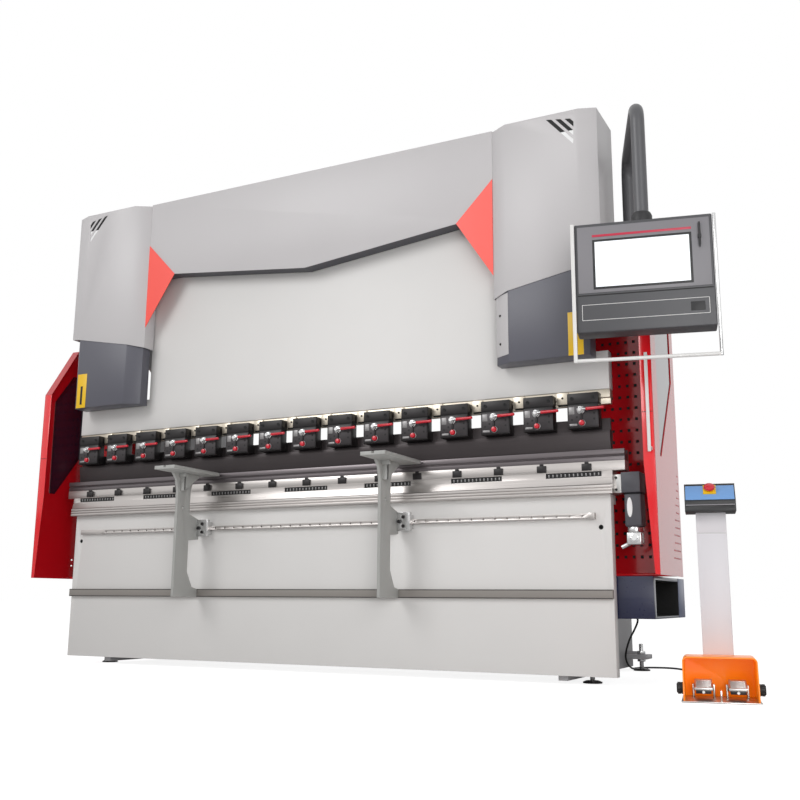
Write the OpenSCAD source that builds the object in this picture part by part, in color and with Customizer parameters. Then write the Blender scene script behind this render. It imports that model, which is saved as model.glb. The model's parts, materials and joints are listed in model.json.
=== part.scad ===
// Hydraulic press brake with a pendant console, sheet supports and a pedal stand.
// Millimetres, +Z up. X runs along the bed and Y towards the back of the machine.
// Y = 0 is the bed's front plane and Z = 0 is the floor.

/* [Bed] */
// length of the bed plate
bed_len = 3200; // [2400:10:4200]
// thickness of the bed plate
bed_t = 50; // [30:1:90]
// top of the bed plate above the floor
bed_top = 837; // [700:1:1000]
// gap between the bed plate and the floor
floor_gap = 40; // [15:1:80]

/* [Table and die] */
// length of the crowning table
table_len = 3234; // [2400:2:4300]
// depth of the crowning table
table_d = 122; // [100:1:200]
// how far the table stands in front of the bed
table_lip = 33; // [10:1:60]
// height of the crowning table
table_h = 106; // [80:1:160]
// length of the die and its rail
die_len = 3344; // [2400:2:4400]
// depth of the die
die_d = 72; // [60:1:120]
// height of the rail under the die
die_rail_h = 45; // [30:1:80]
// height of the die
die_h = 52; // [40:1:90]
// width of the die's opening
vee_w = 50; // [16:1:52]
// number of windows that show the crowning wedges
wedge_windows = 7; // [3:1:9]
// length of one wedge window
window_len = 262; // [120:2:320]

/* [Ram] */
// width of the ram
ram_w = 3226; // [2400:2:4300]
// thickness of the ram plate
ram_t = 56; // [40:1:90]
// free way between the ram and the frames
ram_clear = 10; // [6:1:20]
// height of the ram's painted part at its ends
shoulder_h = 180; // [120:1:260]
// top of the ram between the cylinders
ram_top = 2400; // [2200:1:2500]
// width of the ram between the cylinders
ram_neck_w = 2200; // [1600:10:2300]
// working stroke, upwards from closed
stroke = 150; // [80:1:200]

/* [Punch and clamps] */
// number of quick clamps
clamp_n = 15; // [5:1:19]
// distance from clamp to clamp
clamp_pitch = 214; // [180:1:260]
// width of one clamp
clamp_w = 146; // [100:1:170]
// height of a clamp
clamp_h = 164; // [140:1:200]
// height of the punch's shoulder over the die
punch_h = 92; // [70:1:140]
// how far the punch's tip dips into the die
punch_dip = 15; // [5:1:20]
// height of the punch's tang
tang_h = 56; // [40:1:70]
// thickness of the punch's tang
tang_t = 16; // [12:1:24]
// length of a clamp's handle
lever_len = 106; // [60:1:110]

/* [Frames and cylinders] */
// outside width over the two side frames
frame_w = 2730; // [2000:10:3400]
// thickness of a side frame
frame_t = 45; // [30:1:70]
// rear end of the side frames
frame_back = 1250; // [1000:10:1600]
// throat depth behind the bending line
throat = 320; // [200:5:450]
// top of the side frames
frame_top = 2620; // [2300:5:2800]
// outside diameter of a cylinder
cyl_d = 190; // [140:2:240]
// bore of a cylinder
cyl_bore = 150; // [100:2:180]
// diameter of a piston rod
rod_d = 100; // [60:2:120]
// length of a cylinder's barrel
cyl_len = 620; // [520:5:800]
// running clearance of rod and piston, radial
run_gap = 0.08; // [0.02:0.01:0.1]

/* [Covers] */
// half width of the centre cover
centre_half = 1086; // [900:2:1200]
// top of the covers
cover_top = 2671; // [2500:1:2800]
// thickness of the cover sheet
sheet_t = 3; // [2:0.5:5]
// front of the centre cover, before the bed's front
centre_out = 85; // [60:1:120]
// front of the wing covers, before the bed's front
wing_out = 137; // [100:1:180]
// outside half width over the wing covers
wing_half = 1627; // [1500:1:1750]

/* [Side guards] */
// outside half width over the side guards
guard_half = 1829; // [1750:1:2000]
// front of the side guards, before the bed's front
guard_out = 100; // [60:1:160]
// rear edge of the side guards
guard_back = 379; // [300:1:600]
// bottom of the side guards
guard_low = 478; // [300:1:600]
// length of the guard's handle
guard_handle_len = 440; // [200:10:460]

/* [Sheet supports] */
// left face of the left support's plate
left_arm_x = -686; // [-1300:1:-300]
// left face of the right support's plate
right_arm_x = 535; // [200:1:1300]
// way of each support along its rail, to each side
arm_travel = 300; // [50:5:500]
// width of a support's shelf
shelf_w = 130; // [80:1:200]
// front of the shelves, before the bed's front
shelf_out = 400; // [250:5:700]

/* [Console] */
// console position along the bed
console_x = 1880; // [1700:5:2100]
// console position before the bed's front
console_y = -395; // [-700:5:-300]
// turn of the console towards the operator's right
console_turn = 11.5; // [0:0.5:30]
// width of the console
console_w = 560; // [400:5:700]
// height of the console
console_h = 476; // [350:2:560]
// depth of the console
console_d = 110; // [80:1:180]
// underside of the console
console_low = 1457; // [1200:1:1600]
// pendant post position along the bed
post_x = 1690; // [1670:5:1760]
// pendant post position behind the bed's front
post_y = 200; // [200:5:260]
// diameter of the pendant tube
pendant_d = 60; // [40:1:80]
// height of the pendant tube's level run
pendant_z = 2487; // [2300:1:2600]

/* [Pedal stand] */
// pedal stand position along the bed
stand_x = 2091; // [2000:1:2600]
// pedal stand position before the bed's front
stand_y = -362; // [-900:1:-300]
// turn of the pedal stand
stand_turn = 10; // [-30:1:45]
// width of the pedal hood
hood_w = 270; // [220:2:360]
// height of the pedal hood
hood_h = 157; // [130:1:220]
// depth of the pedal hood
hood_d = 250; // [180:2:320]
// top of the stand's column
column_top = 720; // [600:5:1000]
// width of the stand's column
column_w = 116; // [80:1:160]
// diameter of the pedal cord
cord_d = 10; // [6:1:16]

/* [Hidden] */
$fn = 48;
tool_y = ram_t / 2;
die_top = bed_top + table_h + die_rail_h + die_h;
vee_z = die_top - vee_w / 2;
tip_z = die_top - punch_dip;
shoulder_z = die_top + punch_h;
tang_z = shoulder_z + tang_h;
clamp_z0 = shoulder_z + 6;
clamp_z1 = clamp_z0 + clamp_h;
tongue_z0 = tang_z + 66;
ram_z0 = clamp_z1 + 20;
ram_shoulder = ram_z0 + shoulder_h;
cyl_x = max(centre_half + 116, min(frame_w / 2 - frame_t / 2, wing_half - 165));
cyl_z0 = ram_shoulder + stroke + 20;
arm_z0 = cyl_z0 + 90;
frame_front = ram_t + ram_clear;
throat_back = tool_y + throat;
machine_low = 15;
post_z = 1900;
rail_z = bed_top - 96;
rail_h = 22;
rail_d = 23;
bar_z = 375;
bar_h = 41;
bar_d = 20;
cover_back = frame_front + 60;
tube = 40;
wing_top = cover_top - 8;
tube_z = wing_top - sheet_t - 2 * tube;
cyl_z1 = min(cyl_z0 + cyl_len, tube_z - 20);
frame_z1 = min(frame_top, wing_top - sheet_t - tube);
ram_z1 = min(ram_top, cover_top - sheet_t - stroke - 20);
neck = min(ram_neck_w / 2, cyl_x - cyl_d / 2 - 90);
cover_low = cover_top - 555;
cover_step = cover_top - 458;
cover_flat = centre_half - 196;
clamp_front = tool_y - 76;
seat_gap = 0.3;
jaw_y = tool_y - tang_t / 2 - seat_gap;
box_w = 196;
box_d = 150;
box_h = 118;
panel_y = 74;
panel_z = 42;
panel_run = sqrt(panel_y * panel_y + (box_h - panel_z) * (box_h - panel_z));
panel_tilt = atan2(box_h - panel_z, panel_y);
box_front = hood_d / 2 + 60 - box_d + 30;
pedal_pin_y = 60;
pedal_pin_z = 42;
pedal_pin_d = 10;
stand_half = hood_w / 2 + 8;
knob_y = -hood_d / 2 + 60;
knob_r = 24;
stand_right = stand_x + max(stand_half * cos(stand_turn) + hood_d / 2 * sin(stand_turn),
    (hood_w / 2 + knob_r) * cos(stand_turn) + (knob_r - knob_y) * sin(stand_turn));
stand_front = stand_y - stand_half * sin(stand_turn) - hood_d / 2 * cos(stand_turn);
origin_x = (stand_right - guard_half) / 2;
origin_y = (stand_front + frame_back) / 2;
cord_back = hood_d / 2 + 60 + cord_d / 4;
cord_r = cord_d / 2;
cord_path = [[1530, 700, 290 - cord_d / 4], [1530, 700, 264], [1490, 790, 222], [1434, 900, 165],
    [1388, 1000, 90], [1378, 1070, 38], [1379, 1180, cord_r + 1], [1389, 1266, cord_r + 0.4],
    [1462, 1341, cord_r], [1583, 1315, cord_r + 0.5], [1697, 1107, cord_r + 0.1], [1826, 600, cord_r + 0.4],
    [stand_x - (cord_back + 130) * sin(stand_turn), stand_y + (cord_back + 130) * cos(stand_turn), cord_r],
    [stand_x - cord_back * sin(stand_turn), stand_y + cord_back * cos(stand_turn), cord_r]];
grey = [0.78, 0.77, 0.78];
pale = [0.86, 0.85, 0.84];
red = [0.80, 0.03, 0.08];
coral = [1.0, 0.33, 0.29];
slate = [0.36, 0.36, 0.40];
black = [0.10, 0.10, 0.11];
steel = [0.74, 0.74, 0.75];
dark_steel = [0.24, 0.24, 0.26];
navy = [0.07, 0.10, 0.24];

// Moves a module from the machine's own frame to the frame of the record.
module row() {
    translate([-origin_x, -origin_y, 0]) children();
}

// Extrudes a [Y, Z] outline along X, from x0 over a length.
module along_x(x0, len) {
    translate([x0, 0, 0]) rotate([90, 0, 90]) linear_extrude(len) children();
}

// Extrudes an [X, Z] outline along Y, from y0 over a thickness.
module along_y(y0, len) {
    translate([0, y0 + len, 0]) rotate([90, 0, 0]) linear_extrude(len) children();
}

// Makes the child and its mirror image across the machine's middle plane.
module both_sides() {
    children();
    mirror([1, 0, 0]) children();
}

// Rectangular outline with rounded corners.
module round_rect(w, h, r) {
    translate([r, 0]) square([w - 2 * r, h]);
    translate([0, r]) square([w, h - 2 * r]);
    for (x = [r, w - r], y = [r, h - r]) translate([x, y]) circle(r);
}

module bed_plate() {
    row() color(pale) difference() {
        union() {
            translate([-bed_len / 2, 0, floor_gap]) cube([bed_len, bed_t, bed_top - floor_gap]);
            translate([-bed_len / 2, bed_t, bed_top - 40]) cube([bed_len, table_d - table_lip - bed_t, 40]);
        }
        for (x = [-1, 1]) translate([x * (bed_len / 2 - 48), -1, bed_top - 146])
            rotate([-90, 0, 0]) cylinder(d = 22, h = bed_t + 2);
    }
}

module side_frame_outline() {
    polygon([[bed_t, machine_low], [frame_back, machine_low], [frame_back, 1500],
        [frame_back - 330, frame_z1], [frame_front + 60, frame_z1], [frame_front + 60, arm_z0],
        [throat_back - 60, arm_z0], [throat_back, arm_z0 - 60], [throat_back, bed_top - 10],
        [throat_back - 50, bed_top - 60], [bed_t, bed_top - 60]]);
}

module left_frame() {
    row() color(grey) along_x(-frame_w / 2, frame_t) side_frame_outline();
}

module right_frame() {
    row() color(grey) along_x(frame_w / 2 - frame_t, frame_t) side_frame_outline();
}

module cross_members() {
    inner = frame_w / 2 - frame_t;
    row() color(grey) {
        translate([-inner, frame_back - 80, 60]) cube([2 * inner, 40, 420]);
        translate([-inner, frame_front + 60, frame_z1 - 330]) cube([2 * inner, 40, 300]);
        translate([-inner, 420, 60]) cube([2 * inner, 40, 300]);
        translate([-wing_half + sheet_t, cover_back - tube, tube_z])
            cube([2 * (wing_half - sheet_t), tube, 2 * tube]);
    }
}

module leveling_feet() {
    row() color(dark_steel) both_sides() for (y = [180, frame_back - 120])
        translate([frame_w / 2, y, 0]) {
            difference() {
                translate([0, -60, 62]) cube([120, 120, 24]);
                translate([75, 0, 61]) cylinder(d = 24, h = 26);
            }
            translate([0, -8, 86]) rotate([90, 0, 90]) linear_extrude(4) square([16, 60]);
            translate([75, 0, 12]) cylinder(d = 24, h = 134);
            translate([75, 0, 86]) cylinder(d = 46, h = 18, $fn = 6);
            translate([75, 0, 0]) cylinder(d = 90, h = 12);
        }
}

module crowning_table() {
    front = -table_lip;
    back = table_d - table_lip;
    step = front + 15;
    pitch = (table_len - window_len - 100) / (wedge_windows - 1);
    row() color(steel) difference() {
        along_x(-table_len / 2, table_len) polygon([[front, bed_top], [back, bed_top],
            [back, bed_top + table_h], [step, bed_top + table_h], [step, bed_top + table_h - 27],
            [front + 6, bed_top + table_h - 61], [front, bed_top + 40], [front, bed_top + 30],
            [front + 4, bed_top + 28], [front, bed_top + 26], [front, bed_top + 17],
            [front + 4, bed_top + 15], [front, bed_top + 13]]);
        for (i = [0 : wedge_windows - 1])
            translate([(i - (wedge_windows - 1) / 2) * pitch - window_len / 2, step - 1, bed_top + table_h - 25])
                cube([window_len, 13, 23]);
    }
}

module crowning_wedges() {
    step = -table_lip + 15;
    pitch = (table_len - window_len - 100) / (wedge_windows - 1);
    row() color(dark_steel) for (i = [0 : wedge_windows - 1])
        translate([(i - (wedge_windows - 1) / 2) * pitch - window_len / 2, step + 6, bed_top + table_h - 25])
            difference() {
                cube([window_len, 6, 23]);
                for (k = [1 : 6]) translate([k * window_len / 7 - 5, -1, 6]) cube([10, 3, 11]);
            }
}

module die_rail() {
    row() color(steel) translate([-die_len / 2, tool_y - die_d / 2, bed_top + table_h])
        cube([die_len, die_d, die_rail_h]);
}

module lower_die() {
    z0 = bed_top + table_h + die_rail_h;
    front = tool_y - die_d / 2;
    back = tool_y + die_d / 2;
    row() color(dark_steel) along_x(-die_len / 2, die_len) polygon([[front, z0], [back, z0],
        [back, die_top], [tool_y + vee_w / 2, die_top], [tool_y, vee_z], [tool_y - vee_w / 2, die_top],
        [front, die_top], [front, z0 + 30], [front + 6, z0 + 24], [front, z0 + 18]]);
}

module die_clamps() {
    front = tool_y - die_d / 2;
    z0 = bed_top + table_h;
    row() color(black) for (i = [0 : clamp_n - 1])
        translate([(i - (clamp_n - 1) / 2) * clamp_pitch, front, z0]) {
            translate([-23, -9, 4]) cube([46, 9, 32]);
            translate([-9, -9, 36]) cube([18, 9, 8]);
        }
}

module crowning_gear_motor() {
    x0 = max(table_len / 2, bed_len / 2 - 30);
    row() {
        color(steel) translate([table_len / 2, 0, bed_top + 3]) cube([x0 - table_len / 2 + 34, 90, 86]);
        color(slate) translate([x0 + 34, -10, bed_top + 3]) cube([86, 110, 94]);
        color(slate) translate([x0 + 80, 45, bed_top - 150]) cylinder(d = 84, h = 153);
        color(steel) translate([x0 + 80, 45, bed_top - 172]) cylinder(d = 72, h = 22);
        color(steel) translate([x0 + 46, 4, bed_top - 228]) cube([68, 66, 56]);
    }
}

module support_rail() {
    x0 = -bed_len / 2 + 225;
    x1 = bed_len / 2 - 95;
    row() color(steel) {
        difference() {
            translate([x0, -rail_d, rail_z - rail_h / 2]) cube([x1 - x0, rail_d, rail_h]);
            for (i = [0 : 47]) translate([x0 + 30 + i * (x1 - x0 - 60) / 47, -rail_d - 1, rail_z])
                rotate([-90, 0, 0]) cylinder(d = 9, h = 12);
        }
        translate([x1, -rail_d - 6, rail_z - 14]) cube([26, rail_d + 6, 28]);
        translate([x0 - 170, -16, rail_z - 13]) cube([170, 16, 26]);
    }
}

module lower_guide_bar() {
    row() color(grey) translate([-bed_len / 2, -bar_d, bar_z]) cube([bed_len, bar_d, bar_h]);
}

// One support's upright plate and its shelf.
module support_arm(x) {
    row() color(grey) translate([x, 0, 0]) {
        translate([15, -shelf_out, die_top - 18]) difference() {
            cube([shelf_w - 15, shelf_out - 20, 18]);
            translate([shelf_w / 2 - 22, -1, 8]) cube([14, shelf_out, 11]);
        }
        difference() {
            along_x(0, 15) polygon([[-221, bar_z], [-bar_d - 6, bar_z], [-bar_d - 6, bar_z + bar_h],
                [-70, bar_z + bar_h + 10], [-116, bar_z + 130], [-116, rail_z - 70], [-32, rail_z - 60],
                [-32, rail_z + 45], [-116, rail_z + 70], [-116, die_top - 110], [-100, die_top - 55],
                [-60, die_top - 18], [-20, die_top - 18], [-20, die_top], [-shelf_out, die_top],
                [-shelf_out, die_top - 18], [-265, die_top - 18], [-235, die_top - 50],
                [-221, die_top - 110]]);
            translate([-1, -170, rail_z + 100]) rotate([0, 90, 0]) cylinder(d = 22, h = 17);
            translate([-1, -150, die_top - 70]) rotate([0, 90, 0]) cylinder(d = 18, h = 17);
        }
    }
}

// The block that carries a support along the rail.
module support_carriage(x) {
    row() color(steel) translate([x + 15, 0, rail_z]) difference() {
        union() {
            translate([0, -50, -45]) cube([70, 22, 90]);
            translate([0, -28, -32]) cube([70, 22, 64]);
        }
        translate([-1, -rail_d - 0.4, -rail_h / 2 - 0.4]) cube([72, rail_d + 2, rail_h + 0.8]);
        for (z = [-22, 22]) translate([35, -51, z]) rotate([-90, 0, 0]) cylinder(d = 10, h = 8);
    }
}

module left_support_arm() { support_arm(left_arm_x); }

module left_support_carriage() { support_carriage(left_arm_x); }

module right_support_arm() { support_arm(right_arm_x); }

module right_support_carriage() { support_carriage(right_arm_x); }

module centre_cover() {
    outline = [[-centre_half, cover_top], [-centre_half, cover_step], [-cover_flat, cover_step],
        [0, cover_low], [cover_flat, cover_step], [centre_half, cover_step], [centre_half, cover_top]];
    row() color(grey) {
        along_y(-centre_out, sheet_t) polygon(outline);
        along_x(-centre_half, 2 * centre_half) polygon([[-centre_out + 1, cover_top - sheet_t],
            [-centre_out + 1, cover_top], [cover_back - tube, cover_top],
            [cover_back - tube, tube_z], [cover_back - tube - sheet_t, tube_z],
            [cover_back - tube - sheet_t, cover_top - sheet_t]]);
    }
}

// Wing cover for the right side, as a bent sheet over the cylinder.
module wing_sheet() {
    inner = centre_half + 0.5;
    plan = [[inner, -centre_out], [inner + 87, -wing_out], [wing_half - 82, -wing_out],
        [wing_half, -wing_out + 28], [wing_half, 155], [wing_half - sheet_t, 155],
        [wing_half - sheet_t, -wing_out + 30], [wing_half - 83, -wing_out + sheet_t],
        [inner + 88, -wing_out + sheet_t], [inner + sheet_t, -centre_out + 2],
        [inner + sheet_t, -6], [inner, -6]];
    difference() {
        union() {
            translate([0, 0, 1780]) linear_extrude(wing_top - 1780) polygon(plan);
            translate([0, 0, wing_top - sheet_t]) linear_extrude(sheet_t) polygon([[inner, -centre_out],
                [inner + 87, -wing_out], [wing_half - 82, -wing_out], [wing_half, -wing_out + 28],
                [wing_half, 155], [inner, 155]]);
        }
        along_y(-wing_out - 20, 400) polygon([[inner - 1, 1770], [wing_half + 1, 1770],
            [wing_half + 1, 1893], [inner - 1, 1792]]);
        along_y(-wing_out - 2, sheet_t + 4) intersection() {
            polygon([[wing_half - 270, cover_top - 26], [wing_half - 104, cover_top - 54],
                [wing_half - 110, cover_top - 194]]);
            translate([wing_half - 110, cover_top - 194]) rotate([0, 0, 40.9])
                for (i = [0 : 2]) translate([8 + i * 30, -60]) square([17, 360]);
        }
    }
}

module left_wing_cover() {
    row() color(grey) mirror([1, 0, 0]) wing_sheet();
}

module right_wing_cover() {
    row() color(grey) wing_sheet();
}

module accent_plates() {
    row() color(coral) both_sides() along_y(-centre_out - 3, 3)
        polygon([[centre_half, cover_top - 258], [cover_flat, cover_step], [centre_half, cover_top - 758]]);
}

module cylinder_covers() {
    z0 = clamp_z1 + stroke + 8;
    x0 = centre_half + 12;
    x1 = wing_half - 65;
    front = -wing_out + sheet_t;
    row() color(slate) both_sides() difference() {
        translate([0, 0, z0]) linear_extrude(480) polygon([[x0, -20], [x0, -80], [x0 + 78, front + 1],
            [x0 + 82, front], [x1 - 22, front], [x1, front + 18], [x1, -20]]);
        translate([0, 0, z0 + sheet_t]) linear_extrude(480) polygon([[x0 + 3, -19], [x0 + 3, -78],
            [x0 + 82, front + 3], [x1 - 23, front + 3], [x1 - 3, front + 19], [x1 - 3, -19]]);
        along_y(-wing_out - 20, 400) polygon([[x0 - 98, 1852], [x1 + 138, 1952], [x1 + 138, 2060], [x0 - 98, 2060]]);
    }
}

module guard_profile() {
    polygon([[-guard_out, guard_low], [guard_back, guard_low], [guard_back, 1884],
        [97, 1884], [-guard_out, 1571]]);
}

module window_profile(grow = 0) {
    polygon([[-7 - grow, 1531 + grow], [128 - grow, 1714 + grow], [310 + grow, 1714 + grow],
        [310 + grow, 1386 - grow], [24, 996 - grow], [-2 - grow, 996 - grow]]);
}

module side_guard() {
    difference() {
        union() {
            along_x(guard_half - 4, 4) difference() {
                guard_profile();
                for (r = [0 : 11], c = [0 : floor(r / 2)])
                    translate([336 - c * 27, 940 - r * 35]) square([15, 7]);
            }
            along_x(guard_half - 52, 50) polygon([[-guard_out, 1500], [-guard_out + 4, 1500],
                [-guard_out + 4, 1570], [99, 1880], [guard_back, 1880], [guard_back, 1884], [97, 1884],
                [-guard_out, 1571]]);
            along_y(-guard_out, 4) polygon([[guard_half - 52, 1501], [guard_half - 52, 960],
                [guard_half - 22, guard_low], [guard_half - 2, guard_low], [guard_half - 2, 1501]]);
            along_y(240, 4) difference() {
                translate([frame_w / 2, 485]) square([1775 - frame_w / 2, 1395]);
                for (r = [0 : 23], c = [-3 : 3]) translate([1630 + c * 38, 560 + r * 54]) square([14, 14]);
            }
            translate([frame_w / 2, 200, guard_low]) cube([guard_half - frame_w / 2 - 4, 74, 8]);
        }
        along_x(guard_half - 5, 6) window_profile();
    }
}

module left_guard() {
    row() color(red) mirror([1, 0, 0]) side_guard();
}

module right_guard() {
    row() color(red) side_guard();
}

module guard_windows() {
    row() color([0.12, 0.10, 0.12]) both_sides() along_x(guard_half - 8, 4) window_profile(14);
}

module guard_handle() {
    row() color(pale) translate([guard_half - 24, -guard_out - 36, 1000]) {
        cube([14, 8, guard_handle_len]);
        for (z = [10, guard_handle_len - 24]) translate([0, 8, z]) cube([14, 28, 14]);
    }
}

module electrical_cabinet() {
    x0 = frame_w / 2;
    w = guard_half - 69 - x0;
    row() color(navy) difference() {
        translate([x0, 65, 290]) cube([w, 668, 186]);
        translate([x0 + 0.494 * w, 104, 300]) cube([0.506 * w + 1, 484, 160]);
    }
}

module cylinder_barrels() {
    row() color(slate) both_sides() translate([cyl_x, tool_y, cyl_z0]) {
        difference() {
            union() {
                cylinder(d = cyl_d, h = cyl_z1 - cyl_z0);
                translate([-cyl_d / 2, 0, 100]) cube([cyl_d, frame_front + 60 - tool_y, 300]);
            }
            translate([0, 0, -1]) cylinder(d = rod_d + 2 * run_gap, h = 90);
            translate([0, 0, 80]) cylinder(d = cyl_bore, h = cyl_z1 - cyl_z0 - 120);
        }
    }
}

module piston_rods() {
    row() color(steel) both_sides() translate([cyl_x, tool_y, ram_shoulder]) {
        cylinder(d = rod_d, h = 300);
        translate([0, 0, 300]) cylinder(d = cyl_bore - 2 * run_gap, h = 60);
    }
}

module hydraulic_unit() {
    inner = frame_w / 2 - frame_t;
    row() color(grey) {
        difference() {
            translate([-inner, 420, 1900]) cube([2 * inner, 460, 480]);
            translate([-inner + 4, 424, 1904]) cube([2 * inner - 8, 452, 472]);
        }
        translate([0, 640, 2380]) cylinder(d = 220, h = 20);
        translate([0, 640, 2400]) cylinder(d = 180, h = 230);
    }
}

module back_gauge() {
    inner = frame_w / 2 - frame_t;
    row() color(steel) {
        translate([-inner + 60, 640, 900]) cube([2 * inner - 120, 90, 60]);
        both_sides() translate([inner - 60, 460, 880]) cube([60, 620, 60]);
        both_sides() translate([500, 400, 960]) {
            cube([70, 330, 30]);
            translate([15, -40, 0]) cube([40, 40, 60]);
        }
    }
}

module ram_plate() {
    row() color(pale) along_y(0, ram_t) polygon([[-ram_w / 2, ram_z0], [ram_w / 2, ram_z0],
        [ram_w / 2, ram_shoulder], [neck, ram_shoulder], [neck, ram_z1],
        [-neck, ram_z1], [-neck, ram_shoulder], [-ram_w / 2, ram_shoulder]]);
}

module ram_tongue() {
    row() color([0.80, 0.77, 0.72]) along_x(-ram_w / 2, ram_w) polygon([[tool_y + 22, ram_z0],
        [tool_y - 22, ram_z0], [tool_y - 22, ram_z0 - 38], [tool_y - 14, ram_z0 - 42],
        [tool_y - 14, tongue_z0], [tool_y + 14, tongue_z0], [tool_y + 14, ram_z0 - 42],
        [tool_y + 22, ram_z0 - 38]]);
}

module punch() {
    row() color(dark_steel) along_x(-ram_w / 2 + 6, ram_w - 12) polygon([[tool_y - tang_t / 2, tang_z],
        [tool_y + tang_t / 2, tang_z], [tool_y + tang_t / 2, shoulder_z], [tool_y + 26, shoulder_z],
        [tool_y + 26, shoulder_z - 22], [tool_y + 16, die_top], [tool_y + 1, tip_z],
        [tool_y - 1, tip_z], [tool_y - 16, die_top], [tool_y - 26, shoulder_z - 22],
        [tool_y - 26, shoulder_z], [tool_y - tang_t / 2, shoulder_z]]);
}

// Places its child at every clamp, counted from the middle.
module at_clamps() {
    for (i = [0 : clamp_n - 1])
        translate([(i - (clamp_n - 1) / 2) * clamp_pitch, 0, 0]) children();
}

module clamp_bodies() {
    row() color(black) at_clamps() difference() {
        along_x(-clamp_w / 2, clamp_w) polygon([[clamp_front, clamp_z0], [jaw_y, clamp_z0],
            [jaw_y, tang_z], [clamp_front + 54, tang_z], [clamp_front + 54, clamp_z1],
            [clamp_front, clamp_z1]]);
        translate([-clamp_w / 2 - 1, clamp_front - 1, clamp_z1 - 54]) cube([clamp_w + 2, 5, 4]);
        translate([clamp_w / 2 - 34, clamp_front - 1, clamp_z0 + 30]) cube([20, 9, 44]);
        for (x = [-1, 1]) translate([x * (clamp_w / 2 - 22), clamp_front - 1, clamp_z1 - 24])
            rotate([-90, 0, 0]) cylinder(d = 14, h = 9);
    }
}

module clamp_hubs() {
    row() color(steel) at_clamps() translate([-8, clamp_front - 14, clamp_z0 + 84])
        rotate([-90, 0, 0]) cylinder(d = 30, h = 14);
}

module clamp_levers() {
    row() color(red) at_clamps() translate([-8, clamp_front - 26, clamp_z0 + 84]) {
        rotate([-90, 0, 0]) cylinder(d = 22, h = 12);
        translate([8, 0, -6]) cube([lever_len, 12, 13]);
    }
}

module release_buttons() {
    row() color(red) at_clamps() translate([-4, clamp_front - 16, clamp_z0 + 24])
        rotate([-90, 0, 0]) cylinder(d = 26, h = 16);
}

module pendant_base() {
    row() color(slate) {
        translate([frame_w / 2, post_y - 38, post_z - 16]) cube([post_x - frame_w / 2 + 45, 76, 16]);
        along_y(post_y - 6, 12) polygon([[frame_w / 2, post_z - 16], [frame_w / 2 + 180, post_z - 16],
            [frame_w / 2, post_z - 120]]);
        difference() {
            translate([post_x, post_y, post_z]) cylinder(d = pendant_d + 28, h = 180);
            translate([post_x, post_y, post_z + 8]) cylinder(d = pendant_d + 2 * run_gap, h = 180);
        }
    }
}

module pendant_arm() {
    dx = console_x - post_x;
    dy = console_y - post_y;
    run = sqrt(dx * dx + dy * dy);
    bend = 90;
    head = console_low + console_h + 10;
    row() color(slate) translate([post_x, post_y, 0]) rotate([0, 0, atan2(dy, dx)]) {
        translate([0, 0, post_z + 8]) cylinder(d = pendant_d, h = pendant_z - bend - post_z - 8);
        translate([bend, 0, pendant_z - bend]) rotate([90, 0, 0]) rotate([0, 0, 90])
            rotate_extrude(angle = 90) translate([bend, 0]) circle(d = pendant_d);
        translate([bend, 0, pendant_z]) rotate([0, 90, 0]) cylinder(d = pendant_d, h = run - 2 * bend);
        translate([run - bend, 0, pendant_z - bend]) rotate([90, 0, 0])
            rotate_extrude(angle = 90) translate([bend, 0]) circle(d = pendant_d);
        translate([run, 0, head]) cylinder(d = pendant_d, h = pendant_z - bend - head);
    }
}

// Puts console parts at the pendant's end, turned towards the operator.
module at_console() {
    translate([console_x, console_y, console_low]) rotate([0, 0, console_turn]) children();
}

module console_body() {
    row() color(slate) at_console() difference() {
        union() {
            translate([-console_w / 2, -console_d / 2, 0]) cube([console_w, console_d, console_h]);
            translate([0, 0, console_h - 1]) cylinder(d = pendant_d + 28, h = 45);
        }
        translate([0, 0, console_h + 10]) cylinder(d = pendant_d + 2 * run_gap, h = 50);
        translate([-198, -console_d / 2 - 1, 192]) cube([386, 9, 202]);
        translate([-console_w / 2 + 24, -console_d / 2 - 1, 52]) cube([console_w - 50, 3, 68]);
    }
}

module console_screen() {
    row() color([0.93, 0.95, 0.97]) at_console()
        translate([-196, -console_d / 2 + 3, 194]) cube([382, 5, 198]);
}

module console_handle() {
    row() color(pale) at_console() {
        translate([-console_w / 2 - 16, -console_d / 2 - 8, -128]) cube([16, 16, console_h + 128]);
        translate([console_w / 2, -console_d / 2 - 8, -128]) cube([16, 16, console_h + 128]);
        translate([-console_w / 2, -console_d / 2 - 8, -128]) cube([console_w, 16, 16]);
    }
}

module console_stylus() {
    row() color(black) at_console() {
        translate([228, -console_d / 2 - 6, 330]) cylinder(d = 10, h = 110);
        translate([221, -console_d / 2 - 12, 370]) cube([14, 12, 16]);
    }
}

// Puts pedal stand parts at the stand, turned as it stands.
module at_stand() {
    translate([stand_x, stand_y, 0]) rotate([0, 0, stand_turn]) children();
}

module pedal_base() {
    row() color(steel) at_stand() {
        translate([-stand_half, -hood_d / 2, 0]) cube([2 * stand_half, hood_d, 6]);
        for (x = [-62, 62]) translate([x, pedal_pin_y, 5]) {
            for (side = [-1, 1]) translate([side * 38 - 4, -14, 0]) cube([8, 28, 51]);
            translate([-36, 0, pedal_pin_z - 5]) rotate([0, 90, 0]) cylinder(d = pedal_pin_d, h = 72);
        }
    }
}

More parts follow.
